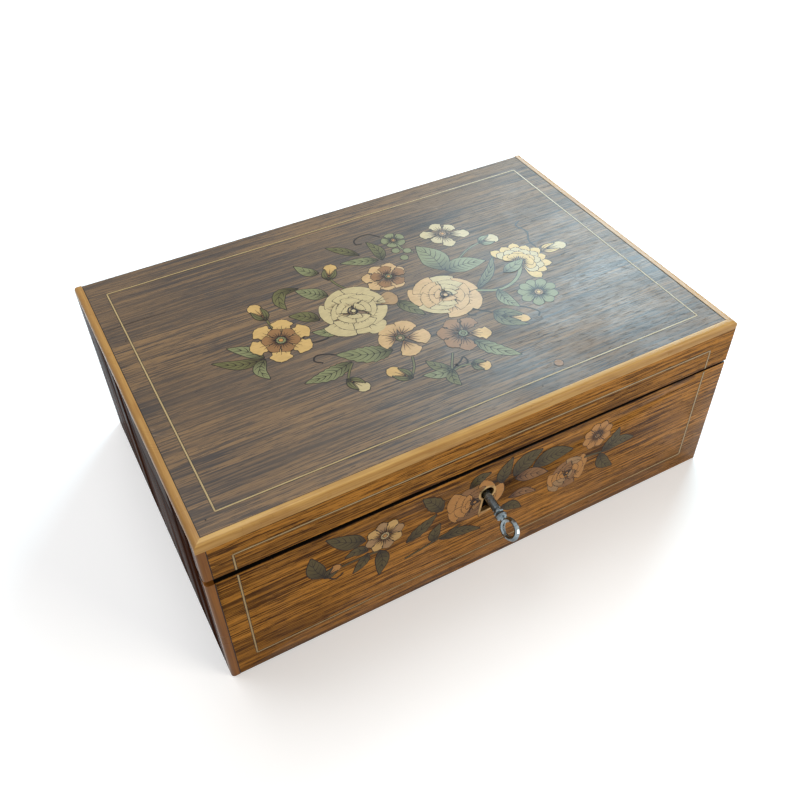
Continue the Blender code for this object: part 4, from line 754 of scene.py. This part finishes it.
def petal(on, wood, root, tip, width, layer, lines=3, scorch=(1.0, 0.0), cut_tip=0.0, bend=0.0, frill=0.0):
    """A petal from root to tip, with a few engraved lines from its root."""
    root, tip = Vector(root), Vector(tip)
    reach = tip - root
    across = Vector((-reach.y, reach.x))
    path = curve_through([root, (root + tip) / 2 + across * bend, tip])
    half = petal_width(width, frill)
    patch(on, wood, path, half, layer, 18 if frill else 11, scorch, cut_tip)
    for number in range(lines):
        lean = (number - (lines - 1) / 2) / max(1, lines - 1)
        start = path(0.12) + across.normalized() * lean * half(0.12) * 0.6
        end = path(0.62 - 0.16 * abs(lean)) + across.normalized() * lean * half(0.6) * 1.15
        vein(on, start, end, layer)


def stem(on, wood, points, width, layer=0):
    """A stem or tendril with its saw line."""
    laid.append(wood)
    path = curve_through(points)
    steps = 5 * (len(points) - 1)
    strip(on, "black", longer(path, 0.2), lambda t: width / 2 + 0.22, height_of(layer) + 0.008, steps, 1)
    if wood != "black":
        strip(on, wood, path, lambda t: width / 2 * (1 - 0.35 * t), height_of(layer) + 0.02, steps, 1)


def dot(on, wood, centre, radius, layer, squash=1.0):
    """A round eye or berry with its saw line."""
    centre = Vector(centre)
    path = line_between(centre - Vector((radius, 0)), centre + Vector((radius, 0)))

    def round_half(t):
        return squash * math.sqrt(max(0.0, radius ** 2 - (2 * t * radius - radius) ** 2))
    patch(on, wood, path, round_half, layer, 12, scorch=(0.3, 0.0))


def around(centre, angle, distance):
    """The point at an angle in degrees and a distance from a centre."""
    return Vector(centre) + Vector((math.cos(math.radians(angle)), math.sin(math.radians(angle)))) * distance


def even_petals(first, turn, count, length):
    """The petals of a regular flower, for flower()."""
    return [(first + turn * number, length) for number in range(count)]


def flower(on, wood, centre, petals, width, layer, eye="olive", eye_radius=2.2, core="orange", root=0.18,
           lines=3, scorch=(1.0, 0.0), cut_tip=0.0, frill=0.14):
    """An open flower. petals lists (angle, length) round the centre."""
    for number, (angle, length) in enumerate(petals):
        tone = wood[number % len(wood)] if isinstance(wood, tuple) else wood
        petal(on, tone, around(centre, angle, length * root), around(centre, angle, length), width,
              layer + number % 2, lines, scorch, cut_tip, frill=frill)
    if eye:
        dot(on, eye, centre, eye_radius, layer + 2)
        for number in range(10):
            angle = 36 * number + 10
            vein(on, around(centre, angle, eye_radius * 0.75), around(centre, angle, eye_radius * 1.6),
                 layer + 2.6, 0.11)
        dot(on, core, centre, eye_radius * 0.45, layer + 3)


def rose(on, woods_used, centre, across, along, turn, seed):
    """A full rose seen from the front: rings of broad overlapping petals that close to a curled heart. across
    and along are its half sizes, and turn the angle of the long one."""
    spread = random.Random(seed)
    tilt = math.radians(turn)
    centre = Vector(centre)

    def on_rose(angle, distance):
        flat = Vector((math.cos(angle) * distance * along, math.sin(angle) * distance * across))
        return centre + Vector((flat.x * math.cos(tilt) - flat.y * math.sin(tilt),
                                flat.x * math.sin(tilt) + flat.y * math.cos(tilt)))
    size = (across + along) / 2
    for ring, (count, inner, outer, breadth) in enumerate(((7, 0.38, 1.0, 0.92), (6, 0.26, 0.74, 0.72),
                                                           (5, 0.14, 0.52, 0.56), (3, 0.04, 0.32, 0.42))):
        for number in range(count):
            angle = math.tau * (number + 0.5 * ring) / count + spread.uniform(-0.12, 0.12)
            tone = woods_used[(ring + number) % len(woods_used)]
            reach = outer * spread.uniform(0.92, 1.04)
            petal(on, tone, on_rose(angle, inner), on_rose(angle + 0.08, reach), breadth * size,
                  ring + 0.5 * (number % 2), 4 if ring < 2 else 2, scorch=(1.0, 0.0), cut_tip=0.5,
                  bend=spread.uniform(-0.1, 0.1), frill=0.1)
    heart = [on_rose(0.9 * turn_step, 0.2 - 0.016 * turn_step) for turn_step in range(12)]
    stem(on, "black", heart, 0.3, 4.2)
    dot(on, woods_used[0], centre, size * 0.06, 4.4)


def bud(on, wood, base, tip, width, cup="olive"):
    """A closed bud with two sepals at its base."""
    base, tip = Vector(base), Vector(tip)
    reach = tip - base
    across = Vector((-reach.y, reach.x)).normalized()
    petal(on, wood, base + reach * 0.15, tip, width, 0, 3)
    for side in (-1, 1):
        leaf(on, cup, [base, base + reach * 0.3 + across * side * width * 0.36,
                               base + reach * 0.66 + across * side * width * 0.42], width * 0.36, 1, layer=1)


def lid_flowers():
    """The spray on the lid's top, from the lowest pieces to the highest."""
    # stems and tendrils
    for row in (
            ("mint", [(76, 0), (69, -9), (61, -14), (52, -15), (42, -10)], 1.9),
            ("olive", [(67, 26), (58, 24), (49, 19)], 1.1), ("olive", [(-20, 38), (-19, 31), (-16, 24)], 1.1),
            ("olive", [(-62, 21), (-62, 14)], 1.0), ("olive", [(-46, -39), (-43, -34), (-39, -29)], 1.0),
            ("olive", [(10, -57), (5, -56), (0, -56), (6, -46)], 1.0),
            ("olive", [(-20, -52), (-15, -46), (-12, -39)], 1.0),
            ("mint", [(27, 51), (26, 43), (30, 36)], 1.0)):
        stem(LID_TOP, *row)
    for tendril in ([(-37, -5), (-43, -7), (-49, -6), (-53, -3), (-51, 0)],
                    [(21, 58), (17, 63), (12, 64), (7, 62), (6, 58), (9, 57)],
                    [(-42, -21), (-47, -17), (-52, -16), (-54, -19), (-51, -22)],
                    [(0, -56), (6, -53), (9, -51), (9, -55), (5, -57), (3, -54)],
                    [(53, -31), (57, -35), (60, -40), (58, -43)],
                    [(39, -29), (35, -25), (31, -22), (28, -25), (31, -27)],
                    [(91, 6), (91, 14), (95, 22), (93, 30), (97, 33)]):
        stem(LID_TOP, "black", tendril, 0.5)
    # leaves
    for row in (
            ("mint", [(36, 14), (37, 26), (34, 40)], 15, 6),
            ("mint", [(37, 13), (48, 13), (60, 10)], 12.5, 6),
            ("olive", [(-38, 37), (-47, 38), (-51, 31), (-50, 24)], 6.5),
            ("mint", [(-27, 24), (-33, 29), (-40, 36)], 9, 5),
            ("olive", [(-39, 8), (-44, 14), (-51, 18)], 7.5),
            ("mint", [(-33, -3), (-39, -3), (-46, 1)], 6.5, 3),
            ("mint", [(-23, 44), (-28, 48), (-32, 56)], 6.5, 3),
            ("olive", [(3, 48), (-3, 56), (-10, 63)], 5.5), ("mint", [(10, 39), (2, 42), (-9, 46)], 6.5),
            ("olive", [(12, 38), (14, 47), (12, 57)], 6.5),
            ("mint", [(-18, -30), (-30, -27), (-43, -20)], 13, 6, 7),
            ("mint", [(-39, -28), (-51, -31), (-64, -31)], 9.5, 6, 7),
            ("mint", [(-74, -5), (-79, 3), (-87, 10)], 7),
            ("olive", [(-75, -6), (-86, -4), (-97, 3)], 6.5, 5),
            ("mint", [(-74, -6), (-79, -12), (-77, -20)], 6),
            ("mint", [(20, -43), (25, -53), (34, -63)], 9, 5, 6),
            ("olive", [(0, -56), (-5, -51), (-8, -45)], 5.5, 3),
            ("mint", [(0, -56), (-7, -56), (-14, -53)], 5.5, 3),
            ("olive", [(0, -56), (-3, -61), (-2, -67)], 5.5, 3), ("olive", [(2, 3), (5, -5), (9, -14)], 7),
            ("olive", [(43, -9), (51, -4), (58, 2), (65, 11)], 5, 5),
            ("mint", [(52, -15), (51, -24), (54, -32)], 7, 5),
            ("olive", [(40, -29), (46, -33), (52, -38)], 5.5, 3),
            ("olive", [(40, -30), (41, -38), (50, -46)], 5.5, 3)):
        leaf(LID_TOP, *row)
    # buds
    for row in (
            ("honey", (-62, 21), (-65, 36), 7), ("honey", (-21, 36), (-14, 48), 7),
            ("cream", (-46, -38), (-40, -49), 6.5), ("honey", (-19, -52), (-27, -41), 7),
            ("honey", (10, -57), (17, -63), 6.5), ("honey", (42, -34), (53, -43), 5.5),
            ("cream", (66, 26), (78, 26), 8, "mint"), ("cream", (91, 3), (107, 2), 7, "yellow")):
        bud(LID_TOP, *row)
    # small open flowers
    flower(LID_TOP, "mint", (26, 51.5), even_petals(90, -72, 5, 7), 6, 0, "tan", 1.4, lines=2)
    for berry in ((22.5, 42), (28, 39), (23.5, 34)):
        dot(LID_TOP, "mint", berry, 2.2, 0)
    flower(LID_TOP, "cream", (53, 43.5), [(92, 11), (160, 13), (215, 10), (262, 13), (-28, 15), (30, 10)],
           7.6, 0, "tan", 2.0, cut_tip=1.2, frill=0.2)
    flower(LID_TOP, "mint", (69, -27), [(150, 11), (118, 11), (84, 11), (48, 11.5), (10, 11), (-35, 10),
                                        (-80, 10), (-125, 11), (-170, 11)],
           5.8, 0, "tan", 2.2, "yellow", lines=2, frill=0.08)
    # primrose with a paler flower behind it
    flower(LID_TOP, "peach", (6, 22), [(100, 13), (55, 14), (150, 13), (200, 12), (20, 13), (-60, 11),
                                       (250, 10)], 8.4, 0, None, frill=0.26, cut_tip=1.4)
    flower(LID_TOP, "russet", (8, 23), [(80, 9.5), (10, 9.5), (-62, 9.5), (-134, 9.5), (154, 9.5)],
           7.4, 2, "mint", 1.8, frill=0.24, cut_tip=0.8)
    # carnation: ragged petals fanned from a calyx
    calyx = (75, 0)
    for ring, (reach, tone) in enumerate(((17.5, "yellow"), (13.5, "cream"), (9.5, "yellow"))):
        for number in range(9 - ring):
            angle = 118 - (200 - 14 * ring) * number / (8 - ring)
            odd = number % 2
            petal(LID_TOP, tone, around(calyx, angle, 2), around(calyx, angle, reach - 1.5 * odd), 6.4,
                  ring * 1.6 + 0.5 * odd, cut_tip=1.1)
    leaf(LID_TOP, "mint", [(63, -4), (70, -2), (78, 1)], 7, layer=4, veins=3)
    # peach and brown flowers
    flower(LID_TOP, "peach", (-10.5, -24), [(48, 13.5), (-22, 15), (-88, 14.5), (172, 11), (108, 12)],
           11.2, 0, "olive", 2.2, "tan", cut_tip=1.2)
    flower(LID_TOP, ("russet",) * 5 + ("honey",), (18, -36), [(42, 12.5), (100, 12.5), (152, 13), (205, 12.5),
                                                              (-108, 13), (-28, 14)],
           9.2, 0, "mint", 2.2, "olive", cut_tip=1.5, frill=0.26)
    # double orange flower
    double = (-61.8, 3)
    flower(LID_TOP, "honey", double, [(66, 16), (8, 16), (-48, 16.5), (-112, 16), (180, 16), (122, 16)],
           11.4, 0, None, cut_tip=3.0, frill=0.24)
    flower(LID_TOP, "russet", double, even_petals(36, -60, 6, 9.5), 7.2, 2, "mint", 2.4, frill=0.2)
    # the two roses
    petal(LID_TOP, "tan", (-9, 7), (4, 6), 11, 0)
    petal(LID_TOP, "cream", (-20, -4), (-14, -14), 12, 0)
    rose(LID_TOP, ("cream",), (-21, 6), 16.5, 20.5, 63, seed=3)
    rose(LID_TOP, ("peach", "peach", "cream"), (26, -5.5), 17.5, 18.5, -40, seed=8)


lid_flowers()
# a plugged screw hole near the front, old nail heads and the hair cracks at the right corner
dot(LID_TOP, "russet", (45.8, -76.6), 2.2, 0)
NAIL_RADIUS = 0.35
for nail in ((-131, -84), (-128, 40), (30, -86), (129, 12)):
    across_nail = Vector((NAIL_RADIUS, 0))
    straight(LID_TOP, "black", Vector(nail) - across_nail, Vector(nail) + across_nail, NAIL_RADIUS)
for crack in ([(104, -84), (116, -83.4), (134, -83.8)], [(118, -74), (127, -73.2), (134.5, -73.6)],
              [(-134, 52), (-120, 52.6), (-104, 52.2)]):
    strip(LID_TOP, "black", curve_through(crack), lambda t: 0.12 * math.sin(math.pi * t) + 0.03, 0.03, 8, 1)


def front_flowers():
    """The spray round the keyhole on the case's front."""
    for row in (
            ("moss", [(-48, 31), (-38, 33), (-29, 35), (-18, 38)], 1.0),
            ("moss", [(55, 47), (61, 46), (66, 45)], 1.2), ("moss", [(-62, 46), (-68, 47), (-80, 47)], 1.0),
            ("black", [(-89, 45), (-84, 40), (-80, 42)], 0.4)):
        stem(CASE_FRONT, *row)
    for row in (
            ("moss", [(-89, 45), (-93, 53), (-94, 62)], 8), ("moss", [(-68, 58), (-76, 62), (-86, 70)], 9, 5),
            ("moss", [(-67, 50), (-72, 53), (-78, 52)], 5.5, 3),
            ("moss", [(-67, 48), (-70, 43), (-75, 38)], 5.5, 3),
            ("moss", [(-61, 46), (-60, 38), (-62, 28)], 7),
            ("moss", [(-47, 43), (-39, 48), (-31, 54)], 8, 4, 5),
            ("moss", [(-28, 55), (-32, 62), (-38, 69)], 9, 4, 5),
            ("moss", [(-32, 34), (-32, 40), (-29, 46)], 6, 3),
            ("moss", [(-29, 34), (-18, 33), (-6, 28)], 6.5, 5),
            ("moss", [(-13, 62), (-8, 66), (-2, 67)], 6, 3), ("moss", [(5, 56), (6, 63), (10, 71)], 7.5),
            ("moss", [(12, 57), (18, 64), (27, 68)], 11, 5), ("moss", [(23, 58), (33, 60), (46, 58)], 11, 6),
            ("russet", [(13, 55), (22, 53), (32, 49)], 8, 4, 0, 1),
            ("russet", [(10, 42), (18, 42), (26, 38)], 5, 3), ("moss", [(6, 37), (12, 35), (18, 30)], 6, 3),
            ("moss", [(66, 45), (72, 50), (75, 58)], 7.5), ("moss", [(66, 45), (76, 48), (86, 46)], 7, 5),
            ("moss", [(65, 44), (68, 36), (75, 30)], 7)):
        leaf(CASE_FRONT, *row)
    bud(CASE_FRONT, "orange", (-89, 44), (-81, 49), 5, "moss")
    flower(CASE_FRONT, ("tan", "honey"), (-58, 55.5), even_petals(10, 45, 8, 10), 6, 0, "cream", lines=2,
           cut_tip=1.0, frill=0.2)
    flower(CASE_FRONT, "orange", (61, 60), even_petals(18, 45, 8, 9), 5.6, 0, "tan", 1.8,
           "russet", lines=2, cut_tip=0.8, frill=0.2)
    rose(CASE_FRONT, ("orange", "orange", "russet"), (-10, 50.5), 12, 16.5, -8, seed=5)
    rose(CASE_FRONT, ("orange", "tan", "russet"), (45, 40.5), 10, 13, 20, seed=11)


front_flowers()


def keyhole_cutter():
    """A block in the shape of the escutcheon, round above and spreading below, to clear the inlay from it."""
    low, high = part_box("keyhole_escutcheon")
    ring = (high.x - low.x) / 2
    centre = Vector(((low.x + high.x) / 2, 0, high.z - ring))
    outline = [centre + Vector((math.cos(angle), 0, math.sin(angle))) * ring
               for angle in (math.radians(-40 + 260 * number / 24) for number in range(25))]
    outline += [Vector((centre.x - 0.0047, 0, low.z)), Vector((centre.x + 0.0047, 0, low.z))]
    block = bmesh.new()
    front = block.faces.new([block.verts.new((spot.x, low.y - 0.001, spot.z)) for spot in outline])
    bmesh.ops.translate(block, vec=(0, 0.002, 0), verts=drawn_out(block, [front]))
    bmesh.ops.recalc_face_normals(block, faces=block.faces)
    mesh = bpy.data.meshes.new("keyhole_cutter")
    block.to_mesh(mesh)
    block.free()
    cutter = bpy.data.objects.new("keyhole_cutter", mesh)
    scene.collection.objects.link(cutter)
    return cutter


cutter = keyhole_cutter()
for (body, wood), (shape, _) in inlays.items():
    plain_name = wood.replace("_round_keyhole", "")
    piece = piece_from(f"{body}_inlay_{wood}", shape, woods[plain_name], body)
    if plain_name != wood:
        cut = piece.modifiers.new("keyhole", "BOOLEAN")
        cut.object = cutter
        cut.operation = "DIFFERENCE"
        cut.solver = "EXACT"
        cut.use_self = True
        cleared = bpy.data.meshes.new_from_object(piece.evaluated_get(bpy.context.evaluated_depsgraph_get()))
        piece.modifiers.clear()
        piece.data = cleared
bpy.data.objects.remove(cutter)

# ---- Bottom, partitions and ledges ---------------------------------------------------------------------
# The bottom, the partitions beside the movement and the strips that carry the glass are plain stained pine,
# planed but not polished.

plain_wood, add_plain = node_material("stained_pine")
plain_place, _ = grained_place(add_plain, "X")
plain_figure = stretched_noise(add_plain, plain_place, (14, 240, 240), 4, 0.6, 0.4)
plain_tone = blend_colours(add_plain, between(add_plain, plain_figure, 0.35, 0.68), (0.3, 0.17, 0.075),
                           (0.15, 0.07, 0.028))
surfaced(add_plain, plain_tone, 0.6, plain_figure, 0.3, 0.0002, 0.25)
for node in ("bottom_board", "left_partition", "right_partition", "left_bearer", "right_bearer",
             "glass_ledge_left",
             "glass_ledge_right"):
    give(nodes[node], plain_wood)

# ---- Metalwork -----------------------------------------------------------------------------------------
# The hinges, escutcheon, lock strike and winding key are cast brass gone brown with age. The movement's plates,
# wheels and barrel are lacquered brass, and its comb, springs, arbors, screws and the lock's key are hardened
# steel.


def metal_material(name, bright, dull, polish, tarnish=0.5, brushed="X"):
    """Metal with fine brush marks along one axis and tarnish in clouds."""
    look, add = node_material(name)
    place, own = grained_place(add, brushed)
    brush = stretched_noise(add, place, (60, 2600, 2600), 3, 0.6)
    spots = stretched_noise(add, own.outputs["Object"], (95, 95, 95), 5, 0.62)
    dark = between(add, spots, 0.42, 0.7, 0.0, tarnish)
    tone = blend_colours(add, dark, bright, dull)
    tone = blend_colours(add, between(add, brush, 0.4, 0.7, 0.0, 0.25), tone, dull)
    surfaced(add, tone, plus(add, times(add, dark, 0.3), polish), brush, 0.15, 0.00005, metal=1.0)
    return look


old_brass = metal_material("old_brass", (0.62, 0.41, 0.17), (0.2, 0.11, 0.05), 0.3, 0.8)
clock_brass = metal_material("lacquered_brass", (0.75, 0.52, 0.2), (0.42, 0.25, 0.09), 0.24, 0.45)
drum_brass = metal_material("cylinder_brass", (0.78, 0.58, 0.26), (0.45, 0.29, 0.12), 0.28, 0.35)
bright_steel = metal_material("polished_steel", (0.5, 0.52, 0.54), (0.22, 0.22, 0.23), 0.2, 0.4)
comb_steel = metal_material("comb_steel", (0.42, 0.44, 0.47), (0.2, 0.21, 0.24), 0.26, 0.35, "Y")
blue_steel = metal_material("blued_steel", (0.05, 0.09, 0.24), (0.04, 0.05, 0.1), 0.2, 0.5)
key_steel = metal_material("key_steel", (0.34, 0.4, 0.43), (0.05, 0.065, 0.075), 0.15, 0.8, "Y")
metal_of = {
    old_brass: ("hinge_left_case_leaf", "hinge_left_lid_leaf", "hinge_right_case_leaf", "hinge_right_lid_leaf",
                "keyhole_escutcheon", "lock_strike", "winding_key"),
    clock_brass: ("bedplate", "inner_barrel_bridge", "outer_barrel_bridge", "cylinder_cock", "cylinder_wheel",
                  "spring_barrel", "great_wheel", "governor_frame", "governor_wheel", "comb_base",
                  "governor_fly",
                  "stop_lever"),
    bright_steel: ("hinge_left_pin", "hinge_right_pin", "lock_case", "lock_bolt", "cylinder_arbor",
                   "cylinder_pinion",
                   "winding_arbor", "ratchet_wheel", "click", "governor_pinion", "governor_worm"),
    comb_steel: ("comb",),
    blue_steel: ("click_spring", "mainspring", "comb_screw_left", "comb_screw_middle", "comb_screw_right"),
    key_steel: ("lock_key",),
    drum_brass: ("cylinder",),
}
for look, owners in metal_of.items():
    for node in owners:
        give(nodes[node], look)

# ---- Cylinder pins -------------------------------------------------------------------------------------
# Hundreds of short steel pins stand in the brass cylinder in rows, one row under each tooth of the comb. Each
# row's pins are set round the drum where the tune wants that note.

PIN_RADIUS = 0.00016
PIN_HEIGHT = 0.0008
PINS_PER_TOOTH = 14
drum_low, drum_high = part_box("cylinder")
comb_low, comb_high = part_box("comb")
TEETH = 48
drum_axis = Vector((0, (drum_low.y + drum_high.y) / 2, (drum_low.z + drum_high.z) / 2))
drum_radius = (drum_high.z - drum_low.z) / 2
first_tooth = comb_low.x + 0.002
tooth_pitch = (comb_high.x - comb_low.x - 0.004) / (TEETH - 1)
pin_steel = metal_material("pin_steel", (0.45, 0.46, 0.48), (0.25, 0.25, 0.26), 0.3, 0.3)
pins = bmesh.new()
tune = random.Random(12)
for tooth in range(TEETH):
    x = first_tooth + tooth_pitch * tooth
    angle = tune.uniform(0, math.tau)
    for note in range(PINS_PER_TOOTH):
        angle += tune.choice((1, 1, 2, 2, 3)) * math.tau / 30
        away = Vector((0, math.cos(angle), math.sin(angle)))
        if away.dot(Vector((0, -1, 0))) > 0.9:
            continue
        turn = away.to_track_quat("Z", "Y").to_matrix().to_4x4()
        spot = drum_axis + Vector((x, 0, 0)) + away * (drum_radius + PIN_HEIGHT / 2 - 0.0001)
        bmesh.ops.create_cone(pins, cap_ends=True, segments=5, radius1=PIN_RADIUS, radius2=PIN_RADIUS,
                              depth=PIN_HEIGHT, matrix=Matrix.Translation(spot) @ turn)
piece_from("cylinder_pins", pins, pin_steel, "cylinder")

# ---- Glass cover ---------------------------------------------------------------------------------------
# A loose pane of clear window glass covers the movement. Its cut edges look green.

GLASS_ARRIS = 0.00035
glass, add_glass = node_material("window_glass")
glass_body = add_glass("ShaderNodeBsdfPrincipled", {"Base Color": (0.93, 0.975, 0.955), "Roughness": 0.01,
                                                    "Metallic": 0.0, "IOR": 1.5, "Transmission Weight": 1.0})
add_glass("ShaderNodeOutputMaterial", {"Surface": glass_body.outputs[0]})
piece_from("glass_cover_pane", softened("glass_cover", GLASS_ARRIS, 0.02), glass, "glass_cover",
           ["glass_cover"])
